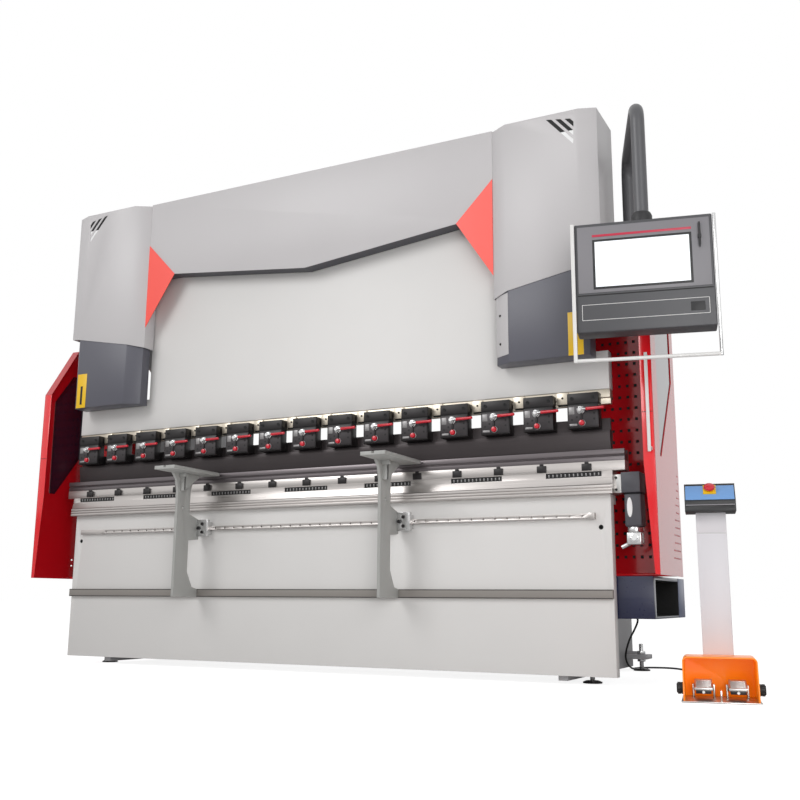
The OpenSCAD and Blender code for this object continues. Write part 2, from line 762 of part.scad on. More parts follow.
module pedal_hood() {
    row() color([1.0, 0.42, 0.06]) at_stand() translate([0, 0, 6]) difference() {
        along_y(-hood_d / 2, hood_d) intersection() {
            translate([-hood_w / 2, -30]) round_rect(hood_w, hood_h + 30, 18);
            translate([-hood_w / 2, 0]) square([hood_w, hood_h]);
        }
        along_y(-hood_d / 2 - 1, hood_d - 4) intersection() {
            translate([-hood_w / 2 + 5, -30]) round_rect(hood_w - 10, hood_h + 25, 14);
            translate([-hood_w / 2, -1]) square([hood_w, hood_h]);
        }
        along_x(-hood_w, 2 * hood_w) polygon([[-hood_d / 2 - 1, 30], [-hood_d / 2 - 1, hood_h + 1],
            [-hood_d / 2 + 55, hood_h + 1]]);
    }
}

module hood_knobs() {
    row() color(black) at_stand() for (side = [0, 1]) mirror([side, 0, 0])
        translate([hood_w / 2, knob_y, 48]) rotate([0, 90, 0]) cylinder(d = 2 * knob_r, h = knob_r, $fn = 48);
}

module pedal_column() {
    row() color(pale) at_stand() translate([-column_w / 2, hood_d / 2, 0])
        cube([column_w, 60, column_top]);
}

module control_box() {
    row() color(black) at_stand() translate([0, box_front, column_top]) difference() {
        along_x(-box_w / 2, box_w) polygon([[0, 0], [box_d, 0], [box_d, box_h], [panel_y, box_h],
            [0, panel_z]]);
        along_x(-box_w / 2 + 8, box_w - 16) polygon([[-1, 14], [3, 14], [3, 24], [-1, 24]]);
        at_panel() translate([0, 0, -40]) cylinder(d = 24 + 2 * run_gap, h = 60);
    }
}

// Puts its child at the emergency stop's seat on the sloped panel.
module at_panel() {
    translate([0, panel_y * 0.62, panel_z + (box_h - panel_z) * 0.62])
        rotate([panel_tilt, 0, 0]) children();
}

module control_panel() {
    row() color([0.48, 0.66, 0.88]) at_stand() translate([0, box_front, column_top]) difference() {
        union() {
            translate([0, 0, panel_z]) rotate([panel_tilt, 0, 0]) translate([-box_w / 2 + 4, 6, 0])
                cube([box_w - 8, 86, 2]);
            at_panel() cylinder(d = 56, h = 6);
        }
        at_panel() translate([0, 0, -1]) cylinder(d = 24 + 2 * run_gap, h = 12);
    }
}

module estop_button() {
    row() color(red) at_stand() translate([0, box_front, column_top]) at_panel() {
        translate([0, 0, -24]) cylinder(d = 24, h = 40);
        translate([0, 0, 13]) cylinder(d = 44, h = 12);
    }
}

module foot_pedal(x) {
    row() color(steel) at_stand() translate([x, pedal_pin_y, pedal_pin_z]) difference() {
        union() {
            along_x(-33, 66) polygon([[-140, 0], [-140, 10], [-4, 32], [8, 32], [8, 4], [-50, 0]]);
            translate([-33, 0, 0]) rotate([0, 90, 0]) cylinder(d = 22, h = 66);
        }
        translate([-34, 0, 0]) rotate([0, 90, 0]) cylinder(d = pedal_pin_d + 2 * run_gap, h = 68);
    }
}

module left_pedal() { foot_pedal(-62); }

module right_pedal() { foot_pedal(62); }

// Pedal cord, from the cabinet's underside over the floor to the back of the pedal stand.
module pedal_cord() {
    row() color(black) for (i = [1 : len(cord_path) - 1]) {
        leg = cord_path[i] - cord_path[i - 1];
        run = norm(leg);
        translate(cord_path[i - 1]) rotate([0, acos(leg[2] / run), atan2(leg[1], leg[0])])
            translate([0, 0, -cord_d / 4]) cylinder(d = cord_d, h = run + cord_d / 2, $fn = 8);
    }
}

// which sub-part to build, or all of them

bed_plate();
left_frame();
right_frame();
cross_members();
leveling_feet();
crowning_table();
crowning_wedges();
die_rail();
lower_die();
die_clamps();
crowning_gear_motor();
support_rail();
lower_guide_bar();
left_support_arm();
left_support_carriage();
right_support_arm();
right_support_carriage();
centre_cover();
left_wing_cover();
right_wing_cover();
accent_plates();
cylinder_covers();
left_guard();
right_guard();
guard_windows();
guard_handle();
electrical_cabinet();
cylinder_barrels();
piston_rods();
hydraulic_unit();
back_gauge();
ram_plate();
ram_tongue();
punch();
clamp_bodies();
clamp_hubs();
clamp_levers();
release_buttons();
pendant_base();
pendant_arm();
console_body();
console_screen();
console_handle();
console_stylus();
pedal_base();
pedal_hood();
hood_knobs();
pedal_column();
control_box();
control_panel();
estop_button();
left_pedal();
right_pedal();
pedal_cord();
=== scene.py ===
"""Looks of a hydraulic press brake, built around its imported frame.

Shapes are worked out in millimetres in the machine's own frame (X along the bed, Y to the back,
Z up from the floor) and are moved to the frame of the record, in metres, when a piece is made.
"""

from __future__ import annotations

import json
import logging
import math
from dataclasses import dataclass
from enum import Enum
from typing import Optional, Sequence

import bmesh
import bpy
from mathutils import Matrix, Vector

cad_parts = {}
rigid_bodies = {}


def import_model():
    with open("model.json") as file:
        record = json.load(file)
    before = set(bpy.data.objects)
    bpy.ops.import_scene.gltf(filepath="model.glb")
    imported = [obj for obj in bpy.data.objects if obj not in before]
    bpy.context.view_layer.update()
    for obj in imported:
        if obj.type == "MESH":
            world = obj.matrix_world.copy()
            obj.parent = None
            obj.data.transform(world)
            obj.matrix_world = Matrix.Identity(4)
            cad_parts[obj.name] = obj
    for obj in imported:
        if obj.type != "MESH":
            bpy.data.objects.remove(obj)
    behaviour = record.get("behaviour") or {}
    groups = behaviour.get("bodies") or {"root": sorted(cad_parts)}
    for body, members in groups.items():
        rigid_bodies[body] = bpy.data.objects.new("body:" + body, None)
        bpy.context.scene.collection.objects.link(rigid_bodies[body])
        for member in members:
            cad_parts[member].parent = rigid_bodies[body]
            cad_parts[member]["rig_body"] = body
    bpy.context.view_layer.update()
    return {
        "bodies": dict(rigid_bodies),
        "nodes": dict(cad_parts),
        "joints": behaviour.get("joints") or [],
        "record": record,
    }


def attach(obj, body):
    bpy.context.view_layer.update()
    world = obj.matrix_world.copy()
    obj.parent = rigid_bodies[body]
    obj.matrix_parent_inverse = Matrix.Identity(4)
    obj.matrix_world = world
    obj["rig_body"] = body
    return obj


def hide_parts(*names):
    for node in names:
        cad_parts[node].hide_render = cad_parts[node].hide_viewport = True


LOG = logging.getLogger("press_brake")
Point = Sequence[float]
Pair = tuple[float, float]
Triple = tuple[float, float, float]
Outline = Sequence[Pair]
Shape = bmesh.types.BMesh

ORIGIN = Vector((217.0196, 370.0337, 0.0))
MACHINE = Matrix.Scale(0.001, 4) @ Matrix.Translation(-ORIGIN)
STAND_X = 2091.0
STAND_Y = -362.0
STAND_TURN = math.radians(10.0)
STAND = MACHINE @ Matrix.Translation((STAND_X, STAND_Y, 0.0)) @ Matrix.Rotation(STAND_TURN, 4, "Z")
CONSOLE = MACHINE @ Matrix.Translation((1880.0, -395.0, 1457.0)) @ Matrix.Rotation(math.radians(11.5), 4, "Z")
WHITE = (1.0, 1.0, 1.0, 1.0)
# An edge whose faces turn by more than this, in radians, gets a bevel.
SHARP = 0.6
FRONT = (0, -1, 0)
UP = (0, 0, 1)
# Both clamp rows, at the ram and at the die, share their count and pitch.
CLAMP_COUNT = 15
CLAMP_PITCH = 214.0
CLAMP_MIDDLES = [(i - (CLAMP_COUNT - 1) / 2) * CLAMP_PITCH for i in range(CLAMP_COUNT)]


class Grain(Enum):
    """How a surface was made, which sets the pattern of its relief."""

    SPRAYED = "sprayed paint, a soft orange peel"
    GROUND = "ground along the bed, fine straight lines"
    TURNED = "turned or drawn, fine lines up its height"
    MOULDED = "moulded, an even fine texture"
    CLEAR = "polished, with no relief"


def linear(colour: str) -> tuple[float, float, float, float]:
    """Turns an sRGB hex colour into linear light.

    Args:
        colour: the colour as six hex digits.

    Returns:
        Red, green, blue and an alpha of 1.
    """
    parts = [int(colour[i : i + 2], 16) / 255 for i in (0, 2, 4)]
    red, green, blue = (c / 12.92 if c <= 0.04045 else ((c + 0.055) / 1.055) ** 2.4 for c in parts)
    return (red, green, blue, 1.0)


def add_node(tree: bpy.types.NodeTree, kind: str, settings: Optional[dict] = None,
             links: Optional[dict] = None) -> bpy.types.Node:
    """Adds a node with its settings and links.

    Args:
        tree: the node tree that takes it.
        kind: Blender's name for the node.
        settings: attributes of the node, or values of its inputs.
        links: inputs of the node, each with the socket that feeds it.

    Returns:
        The new node.
    """
    node = tree.nodes.new(kind)
    for key, value in (settings or {}).items():
        if isinstance(key, str) and hasattr(node, key):
            setattr(node, key, value)
        else:
            node.inputs[key].default_value = value
    for key, socket in (links or {}).items():
        tree.links.new(socket, node.inputs[key])
    return node


@dataclass(frozen=True)
class Finish:
    """A material, named for what the real surface is.

    Attributes:
        name: the material's name.
        colour: sRGB hex colour.
        grain: how the surface was made.
        roughness: mean roughness.
        metallic: 1 for bare metal.
        grain_mm: real size of the relief's pattern, drawn no finer than shows in the render.
        depth: height of the relief in millimetres.
        mottle: share by which the colour varies.
        coat: weight of a clear coat.
        see_through: weight of transmission.
        glow: strength of light that the surface gives.
    """

    name: str
    colour: str
    grain: Grain = Grain.SPRAYED
    roughness: float = 0.4
    metallic: float = 0.0
    grain_mm: float = 14.0
    depth: float = 0.15
    mottle: float = 0.03
    coat: float = 0.0
    see_through: float = 0.0
    glow: float = 0.0

    def stretch(self) -> Triple:
        """Gives the pattern's scale along X, Y and Z, in cells per metre."""
        fine = 1000.0 / self.grain_mm
        long = fine / 60.0
        if self.grain is Grain.GROUND:
            return (long, fine, fine)
        if self.grain is Grain.TURNED:
            return (fine, fine, long)
        return (fine, fine, fine)

    def make(self) -> bpy.types.Material:
        """Builds the material once and gives it back."""
        known = bpy.data.materials.get(self.name)
        if known is not None:
            return known
        material = bpy.data.materials.new(self.name)
        material.use_nodes = True
        material.diffuse_color = linear(self.colour)
        tree = material.node_tree
        tree.nodes.clear()
        base = linear(self.colour)
        settings = {"Metallic": self.metallic, "Coat Weight": self.coat, "Coat Roughness": 0.08}
        if self.see_through:
            settings["Transmission Weight"] = self.see_through
        if self.glow:
            settings.update({"Emission Color": base, "Emission Strength": self.glow})
        shader = add_node(tree, "ShaderNodeBsdfPrincipled", settings)
        place = add_node(tree, "ShaderNodeTexCoord")
        cells = add_node(tree, "ShaderNodeMapping", {"Scale": self.stretch()}, {"Vector": place.outputs["Object"]})
        relief = add_node(tree, "ShaderNodeTexNoise", {"Scale": 1.0, "Detail": 3.0}, {"Vector": cells.outputs[0]})
        broad = add_node(tree, "ShaderNodeTexNoise", {"Scale": 2.2, "Detail": 2.0}, {"Vector": place.outputs["Object"]})
        spread = relief if self.grain in (Grain.GROUND, Grain.TURNED) else broad
        darker = (*[c * (1.0 - self.mottle) for c in base[:3]], 1.0)
        lighter = (*[min(1.0, c * (1.0 + self.mottle)) for c in base[:3]], 1.0)
        tint = add_node(tree, "ShaderNodeMix", {"data_type": "RGBA", 6: darker, 7: lighter},
                        {0: spread.outputs["Fac"]})
        tree.links.new(tint.outputs[2], shader.inputs["Base Color"])
        limits = {"To Min": max(0.02, self.roughness - 0.07), "To Max": min(1.0, self.roughness + 0.07)}
        sheen = add_node(tree, "ShaderNodeMapRange", limits, {"Value": relief.outputs["Fac"]})
        tree.links.new(sheen.outputs["Result"], shader.inputs["Roughness"])
        if self.grain is not Grain.CLEAR:
            bump = add_node(tree, "ShaderNodeBump", {"Strength": 0.5, "Distance": self.depth / 1000.0},
                            {"Height": relief.outputs["Fac"]})
            tree.links.new(bump.outputs["Normal"], shader.inputs["Normal"])
        add_node(tree, "ShaderNodeOutputMaterial", None, {"Surface": shader.outputs["BSDF"]})
        return material


# Sprayed steel: even, slightly soft shine, with a faint orange peel drawn at 14 mm to show.
COVER_PAINT = Finish("light_grey_sheet_paint", "C9C6C7", roughness=0.42)
RAM_PAINT = Finish("pale_grey_plate_paint", "DEDCDA", roughness=0.42)
FRAME_PAINT = Finish("grey_frame_paint", "B9B8BA", roughness=0.45)
SUPPORT_PAINT = Finish("grey_support_paint", "ACACA9", roughness=0.42)
GUIDE_PAINT = Finish("worn_brown_grey_bar_paint", "8C8782", roughness=0.45)
CYLINDER_PAINT = Finish("slate_sheet_paint", "5A5A63", roughness=0.4)
ACCENT_PAINT = Finish("coral_accent_paint", "FF5346", roughness=0.35)
GUARD_PAINT = Finish("red_gloss_guard_paint", "C8101C", roughness=0.22, coat=0.5)
# Painted light: the guard's own red drawn brighter on its front rim and lower tube, where they face the light.
GUARD_RIM_PAINTED_LIGHT = Finish("bright_red_gloss_rim_paint", "EE1C26", roughness=0.22, coat=0.5)
CABINET_PAINT = Finish("navy_cabinet_paint", "161B3C", roughness=0.3, coat=0.3)
POST_PAINT = Finish("grey_blue_cabinet_edge_paint", "6E7692", roughness=0.35)
# A painted glow: the hood's inside is as bright as its outside, so its paint gives a little light of its own in place
# of the light that falls inside.
HOOD_PAINT_WITH_PAINTED_GLOW = Finish("orange_hood_paint", "FF8A10", roughness=0.35, coat=0.2, glow=0.22)
COLUMN_PAINT = Finish("white_grey_column_paint", "DCD9DD", roughness=0.45)
PANEL_PAINT = Finish("light_blue_panel_paint", "7AA8E0", roughness=0.4)
YELLOW_PAINT = Finish("yellow_plate_paint", "F2C21A", roughness=0.4)
PENDANT_PAINT = Finish("dark_grey_tube_paint", "58585B", roughness=0.38)
CONSOLE_PAINT = Finish("dark_grey_console_paint", "4B4B4E", roughness=0.45)
# Also used on the black control box as a painted highlight along its edge.
BEZEL_AND_BOX_HIGHLIGHT = Finish("mid_grey_bezel_paint", "828084", roughness=0.45)
# Also used on the lip under the centre cover, where its dark grey is painted shade.
MOTOR_PAINT_AND_LIP_SHADE = Finish("dark_grey_casting_paint", "4A4A50", roughness=0.5, grain_mm=9.0, depth=0.4)
WHITE_PAINT = Finish("white_handle_paint", "E6E5E3", roughness=0.35)
# Ground bright steel: fine lines along the bed, drawn at 5 mm because real grinding lines are finer.
GROUND_STEEL = Finish("ground_steel", "BEB9B6", Grain.GROUND, 0.3, 0.85, 5.0, 0.08, 0.06)
DIE_STEEL = Finish("blackened_die_steel", "6E686A", Grain.GROUND, 0.3, 0.8, 5.0, 0.08, 0.08)
TOOL_STEEL = Finish("blackened_tool_steel", "3E3839", Grain.GROUND, 0.4, 0.5, 6.0, 0.08, 0.1)
TONGUE_STEEL = Finish("oiled_tongue_steel", "CFC6B6", Grain.GROUND, 0.36, 0.75, 5.0, 0.08, 0.06)
# Turned or zinc-plated small steel parts: bright, with lines too fine to show at their real size.
BRIGHT_STEEL = Finish("zinc_plated_steel", "D2D2D2", Grain.TURNED, 0.24, 0.9, 4.0, 0.05, 0.05)
CHROME = Finish("chromed_steel", "E6E6E6", Grain.CLEAR, 0.08, 1.0)
BRUSHED = Finish("brushed_steel_plate", "C2C1BF", Grain.GROUND, 0.34, 0.85, 4.0, 0.06, 0.06)
# Black oxide on steel: near black, dull, faintly brown where light falls on it.
BLACK_OXIDE = Finish("black_oxide_steel", "1E1B1C", Grain.MOULDED, 0.42, 0.3, 8.0, 0.1, 0.1)
CLAMP_FACE = Finish("worn_black_oxide_face", "383436", Grain.MOULDED, 0.4, 0.4, 5.0, 0.15, 0.25)
CLAMP_GREY = Finish("grey_phosphated_steel", "8C8A8A", Grain.MOULDED, 0.4, 0.6, 6.0, 0.08, 0.08)
# Painted shade: near black, for deep cuts, gaps and holes where hardly any light comes back.
SHADOW = Finish("dark_recess", "0B0B0C", Grain.MOULDED, 0.7)
# Injection-moulded plastic: a fine even texture, drawn at 6 mm.
BLACK_PLASTIC = Finish("black_moulded_plastic", "1C1C1E", Grain.MOULDED, 0.5, grain_mm=6.0, depth=0.1)
RED_PLASTIC = Finish("red_moulded_plastic", "D31C30", Grain.MOULDED, 0.25, grain_mm=6.0, depth=0.05, coat=0.4)
# Also used as the pale backing of the lower vent slots, where it is painted light.
WHITE_LABEL_AND_VENT_LIGHT = Finish("white_plastic_plate", "F2F2F2", Grain.MOULDED, 0.4, grain_mm=6.0)
RUBBER = Finish("black_cord_rubber", "161617", Grain.MOULDED, 0.6, grain_mm=8.0, depth=0.1)
# Smoked acrylic: dark, glassy, with a faint violet cast.
SMOKED = Finish("smoked_acrylic", "2A1B2B", Grain.CLEAR, 0.1, see_through=0.35, coat=0.6)
SCREEN_GLASS = Finish("lit_screen_glass", "F4F7FA", Grain.CLEAR, 0.2, glow=0.35, mottle=0.01)
RED_STRIPE = Finish("red_display_stripe", "C4304A", Grain.CLEAR, 0.3)


class Axis(Enum):
    """The axis along which a profile is drawn out, with the turn that puts +Z on it."""

    X = "X"
    Y = "Y"
    Z = "Z"

    def turn(self) -> Matrix:
        """Gives the turn from a profile in X and Y to one that is drawn out along the axis."""
        if self is Axis.X:
            return Matrix(((0, 0, 1, 0), (1, 0, 0, 0), (0, 1, 0, 0), (0, 0, 0, 1)))
        if self is Axis.Y:
            return Matrix(((1, 0, 0, 0), (0, 0, 1, 0), (0, 1, 0, 0), (0, 0, 0, 1)))
        return Matrix.Identity(4)


def block(low: Point, high: Point) -> Shape:
    """Makes a block between two corners.

    Args:
        low: lowest corner.
        high: highest corner.

    Returns:
        The shape, in millimetres.
    """
    shape = bmesh.new()
    bmesh.ops.create_cube(shape, size=1.0)
    size = [b - a for a, b in zip(low, high)]
    bmesh.ops.scale(shape, vec=size, verts=shape.verts)
    bmesh.ops.translate(shape, vec=[(a + b) / 2 for a, b in zip(low, high)], verts=shape.verts)
    return shape


def sided(side: int, low: Point, high: Point) -> Shape:
    """Makes a block on one side of the machine, from the corners that it has on the right side.

    Args:
        side: 1 for the right side, -1 for the left.
        low: lowest corner on the right side.
        high: highest corner on the right side.

    Returns:
        The shape, in millimetres.
    """
    left, right = sorted((side * low[0], side * high[0]))
    return block((left, low[1], low[2]), (right, high[1], high[2]))


def rod(start: Point, end: Point, radius: float, sides: int = 28) -> Shape:
    """Makes a rod between two points.

    Args:
        start: centre of the first end.
        end: centre of the far end.
        radius: its radius.
        sides: faces round it.

    Returns:
        The shape, in millimetres.
    """
    a, b = Vector(start), Vector(end)
    shape = bmesh.new()
    bmesh.ops.create_cone(shape, cap_ends=True, segments=sides, radius1=radius, radius2=radius, depth=(b - a).length)
    turn = Vector(UP).rotation_difference(b - a).to_matrix().to_4x4()
    bmesh.ops.transform(shape, matrix=Matrix.Translation((a + b) / 2) @ turn, verts=shape.verts)
    return shape


def profile(outline: Outline, axis: Axis, start: float, length: float) -> Shape:
    """Draws an outline out along an axis.

    Args:
        outline: points in the plane, (Y, Z) for X, (X, Z) for Y and (X, Y) for Z.
        axis: the axis it is drawn along.
        start: where it starts on the axis.
        length: how far it goes.

    Returns:
        The shape, in millimetres.
    """
    shape = bmesh.new()
    face = shape.faces.new([shape.verts.new((u, v, start)) for u, v in outline])
    drawn = bmesh.ops.extrude_face_region(shape, geom=[face])["geom"]
    moved = [v for v in drawn if isinstance(v, bmesh.types.BMVert)]
    bmesh.ops.translate(shape, vec=(0, 0, length), verts=moved)
    bmesh.ops.transform(shape, matrix=axis.turn(), verts=shape.verts)
    bmesh.ops.recalc_face_normals(shape, faces=shape.faces)
    return shape


def turned(outline: Outline, centre: Point, along: Point, steps: int = 32) -> Shape:
    """Spins a profile of (radius, height) about an axis.

    Args:
        outline: profile from the axis back to the axis.
        centre: point on the axis where height is 0.
        along: direction of the axis.
        steps: faces round it.

    Returns:
        The shape, in millimetres.
    """
    shape = bmesh.new()
    verts = [shape.verts.new((r, 0.0, h)) for r, h in outline]
    edges = [shape.edges.new(pair) for pair in zip(verts, verts[1:])]
    bmesh.ops.spin(shape, geom=verts + edges, cent=(0, 0, 0), axis=UP, angle=2 * math.pi, steps=steps,
                   use_merge=True)
    bmesh.ops.remove_doubles(shape, verts=shape.verts, dist=0.001)
    bmesh.ops.recalc_face_normals(shape, faces=shape.faces)
    turn = Vector(UP).rotation_difference(Vector(along)).to_matrix().to_4x4()
    bmesh.ops.transform(shape, matrix=Matrix.Translation(centre) @ turn, verts=shape.verts)
    return shape


def screw(centre: Point, along: Point, radius: float) -> Shape:
    """Makes a socket-head screw that stands on a surface.

    Args:
        centre: where it stands.
        along: the surface's outward direction.
        radius: radius of the head.

    Returns:
        The shape, in millimetres.
    """
    rise = radius * 0.7
    return turned(
        [(0.0, 0.0), (radius, 0.0), (radius, rise * 0.7), (radius * 0.85, rise), (radius * 0.5, rise),
         (radius * 0.5, rise * 0.3), (0.0, rise * 0.3)],
        centre, along, 16,
    )


def show(thing: bpy.types.Object) -> None:
    """Puts an object into the scene."""
    bpy.context.scene.collection.objects.link(thing)


class Piece:
    """Gathers shapes with their finishes into one object."""

    def __init__(self, name: str, place: Matrix = MACHINE) -> None:
        """Starts an empty piece.

        Args:
            name: the object's name.
            place: the frame that the shapes are worked out in.
        """
        self.name = name
        self.place = place
        self.mesh = bmesh.new()
        self.finishes: list[Finish] = []

    def add(self, shape: Shape, finish: Finish, bevel: float = 0.0, segments: int = 2) -> None:
        """Bevels a shape, gives it its finish and joins it to the piece.

        Args:
            shape: the shape, in millimetres; it is used up.
            finish: its finish.
            bevel: width of the bevel on its sharp edges.
            segments: faces across the bevel.
        """
        if bevel > 0:
            sharp = [e for e in shape.edges if e.is_manifold and e.calc_face_angle(0.0) > SHARP]
            bmesh.ops.bevel(shape, geom=sharp, offset=bevel, offset_type="OFFSET", segments=segments, profile=0.5,
                            affect="EDGES", material=-1, clamp_overlap=True)
        if finish not in self.finishes:
            self.finishes.append(finish)
        for face in shape.faces:
            face.material_index = self.finishes.index(finish)
        bmesh.ops.transform(shape, matrix=self.place, verts=shape.verts)
        held = bpy.data.meshes.new("held")
        shape.to_mesh(held)
        self.mesh.from_mesh(held)
        bpy.data.meshes.remove(held)
        shape.free()

    def done(self, body: str, replaces: Sequence[str] = (), slot: Optional[str] = None) -> None:
        """Makes the object and rides it on its body.

        Args:
            body: the CAD body it moves with.
            replaces: CAD nodes that it stands for.
            slot: the record's material slot for it; not used.
        """
        data = bpy.data.meshes.new(self.name)
        self.mesh.to_mesh(data)
        self.mesh.free()
        for finish in self.finishes:
            data.materials.append(finish.make())
        data.shade_smooth()
        data.set_sharp_from_angle(angle=math.radians(38))
        made = bpy.data.objects.new(self.name, data)
        show(made)
        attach(made, body)
        if replaces:
            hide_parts(*replaces)
        LOG.info("piece %s: %d faces on %s", self.name, len(data.polygons), body)


@dataclass
class Assembly:
    """A sub-assembly of the machine, dressed around the frame."""

    frame: dict

    def body_of(self, node: str) -> str:
        """Gives the CAD body that holds a node."""
        return self.frame["nodes"][node]["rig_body"]

    def slot_of(self, node: str) -> str:
        """Gives the record's material slot of a CAD node."""
        return next(s["material_slot"] for s in self.frame["record"]["subparts"] if s["node"] == node)

    def paint(self, finish: Finish, *nodes: str) -> None:
        """Gives CAD nodes their finish.

        Args:
            finish: the finish.
            nodes: names of the CAD nodes.
        """
        for node in nodes:
            data = self.frame["nodes"][node].data
            data.materials.clear()
            data.materials.append(finish.make())

    def soften(self, finish: Finish, width: float, *nodes: str) -> None:
        """Shows CAD nodes with the small radius that their edges really have.

        Args:
            finish: the finish.
            width: width of the edge bevel in millimetres.
            nodes: names of the CAD nodes.
        """
        for node in nodes:
            piece = Piece(f"{node}_skin", Matrix.Identity(4))
            shape = bmesh.new()
            shape.from_mesh(self.frame["nodes"][node].data)
            bmesh.ops.remove_doubles(shape, verts=shape.verts, dist=1e-5)
            bmesh.ops.dissolve_limit(shape, angle_limit=0.01, verts=shape.verts, edges=shape.edges)
            piece.add(shape, finish, width / 1000.0)
            piece.done(self.body_of(node), [node], self.slot_of(node))


@dataclass
class BedAndTable(Assembly):
    """Bed plate, crowning table, die rail, die and its clamps."""

    table_len: float = 3234.0
    screws_along: int = 29
    screw_pitch: float = 111.4
    windows: int = 7
    window_len: float = 262.0
    window_end: float = 50.0
    teeth: int = 13
    tooth_pitch: float = 19.5
    tooth_start: float = 14.0
    socket_x: float = 1552.0
    rail_half: float = 1599.0

    def build(self) -> None:
        """Builds and dresses the bed."""
        self.soften(RAM_PAINT, 2.0, "bed_plate")
        self.soften(GROUND_STEEL, 1.0, "crowning_table", "die_rail", "support_rail")
        self.soften(DIE_STEEL, 0.6, "lower_die")
        # The wedges seen through the table's windows are drawn in painted shade.
        self.paint(SHADOW, "crowning_wedges")
        self.soften(GUIDE_PAINT, 1.5, "lower_guide_bar")
        self.screws()
        self.die_clamps()

    def screws(self) -> None:
        """Makes the table's screws and window teeth, the sockets in the bed plate in painted shade and dark strips
        along the lower bar's top and bottom edges.
        """
        piece = Piece("table_screws")
        for i in range(self.screws_along):
            piece.add(screw((-1560.0 + i * self.screw_pitch, -27.5, 872.0), FRONT, 5.0), BRIGHT_STEEL)
        pitch = (self.table_len - self.window_len - 2 * self.window_end) / (self.windows - 1)
        for i in range(self.windows):
            start = (i - (self.windows - 1) / 2) * pitch - self.window_len / 2 + self.tooth_start
            for k in range(self.teeth):
                x = start + k * self.tooth_pitch
                piece.add(block((x - 3, -13.5, 923), (x + 3, -11, 936)), CLAMP_GREY, 0.8)
        # The sockets are drawn in painted shade.
        for x in (-self.socket_x, self.socket_x):
            piece.add(turned([(10.9, 8.0), (10.9, 2.0), (6.0, 2.0), (6.0, 20.0), (0.0, 20.0)],
                             (x, 0.0, 691.0), (0, 1, 0), 24), SHADOW)
        for z in (375.5, 412.0):
            piece.add(block((-self.rail_half, -20.3, z), (self.rail_half, -19, z + 3.5)), BLACK_OXIDE)
        piece.done("base", slot="hub_steel")

    def die_clamps(self) -> None:
        """Makes the black clamps of the die, each with its small screw."""
        piece = Piece("die_clamp_set")
        for x in CLAMP_MIDDLES:
            piece.add(block((x - 23, -16.8, 947), (x + 23, -8, 979)), BLACK_OXIDE, 2.5)
            piece.add(block((x - 9, -16.8, 978), (x + 9, -8, 987)), BLACK_OXIDE, 2.0)
            piece.add(turned([(9, 0), (9, 3), (5, 3), (5, 1), (0, 1)], (x, -13.2, 962), FRONT, 16), CLAMP_GREY)
        piece.done("base", ["die_clamps"], "black_oxide")


@dataclass
class CrowningDrive(Assembly):
    """Gear motor that drives the table's wedges, at its right end."""

    start_x: float = 1617.0

    def build(self) -> None:
        """Builds the flange, the gearbox, the motor and its socket."""
        x = self.start_x
        shaft_x, label_x, label_z = x + 80, x + 66, 776
        piece = Piece("crowning_drive")
        piece.add(block((x, 1, 841), (x + 34, 89, 925)), BRUSHED, 2)
        for z in (856, 910):
            piece.add(screw((x + 10, 1, z), FRONT, 6), BLACK_OXIDE)
        piece.add(block((x + 34, -9, 841), (x + 119, 99, 933)), MOTOR_PAINT_AND_LIP_SHADE, 4, 2)
        piece.add(rod((x + 76, -9.5, 890), (x + 76, -6, 890), 28), MOTOR_PAINT_AND_LIP_SHADE, 1)
        piece.add(block((x + 41, 6, 690), (x + 119, 84, 842)), MOTOR_PAINT_AND_LIP_SHADE, 10, 3)
        # Painted shade in the gap between the gearbox and the motor.
        piece.add(block((x + 40, 5, 834), (x + 120, 85, 838)), SHADOW, 2)
        turns = [i * math.pi / 12 for i in range(24)]
        oval = [(label_x + 12 * math.cos(a), label_z + 44 * math.sin(a)) for a in turns]
        piece.add(profile(oval, Axis.Y, 5.0, 1.4), WHITE_LABEL_AND_VENT_LIGHT)
        piece.add(rod((shaft_x, 45, 665.5), (shaft_x, 45, 690), 36), BRIGHT_STEEL, 4)
        piece.add(block((x + 47, 5, 611), (x + 113, 69, 665.5)), BRIGHT_STEEL, 5, 3)
        piece.add(turned([(0, 0), (20, 0), (20, 2), (13, 3.5), (13, 1), (0, 1)], (shaft_x, 5, 642), FRONT), CHROME)
        piece.add(rod((x + 18, 30, 600), (x + 60, 36, 622), 10), BRIGHT_STEEL, 2)
        piece.done("base", ["crowning_gear_motor"], "motor_paint")


@dataclass
class SheetSupports(Assembly):
    """The two supports that slide along the bed's front rail."""

    left_x: float = -686.0
    right_x: float = 535.0

    def build(self) -> None:
        """Softens the arms and adds screws, locks and shelf rails."""
        self.soften(SUPPORT_PAINT, 1.5, "left_support_arm", "right_support_arm")
        self.soften(BRIGHT_STEEL, 1.5, "left_support_carriage", "right_support_carriage")
        for body, x in (("left_support", self.left_x), ("right_support", self.right_x)):
            piece = Piece(f"{body}_fittings")
            for z in (719.0, 763.0):
                piece.add(screw((x + 50, -50.0, z), FRONT, 8), BLACK_OXIDE)
            for y, z in ((-150.0, 985.0), (-190.0, 985.0)):
                piece.add(screw((x + 15, y, z), (1, 0, 0), 7), BLACK_OXIDE)
            piece.add(block((x + 15.1, -218, 1002), (x + 60, -206, 1021.8)), SUPPORT_PAINT, 1)
            piece.add(profile([(-205, 1021.5), (-70, 1021.5), (-205, 930)], Axis.X, x + 40, 6), SUPPORT_PAINT, 1)
            piece.add(block((x + 15, -205, 930), (x + 46, -199, 1021.5)), SUPPORT_PAINT, 1)
            piece.add(rod((x + 30, -62, 741), (x + 30, -50, 741), 9), BLACK_PLASTIC, 2)
            piece.done(body, slot="black_oxide")


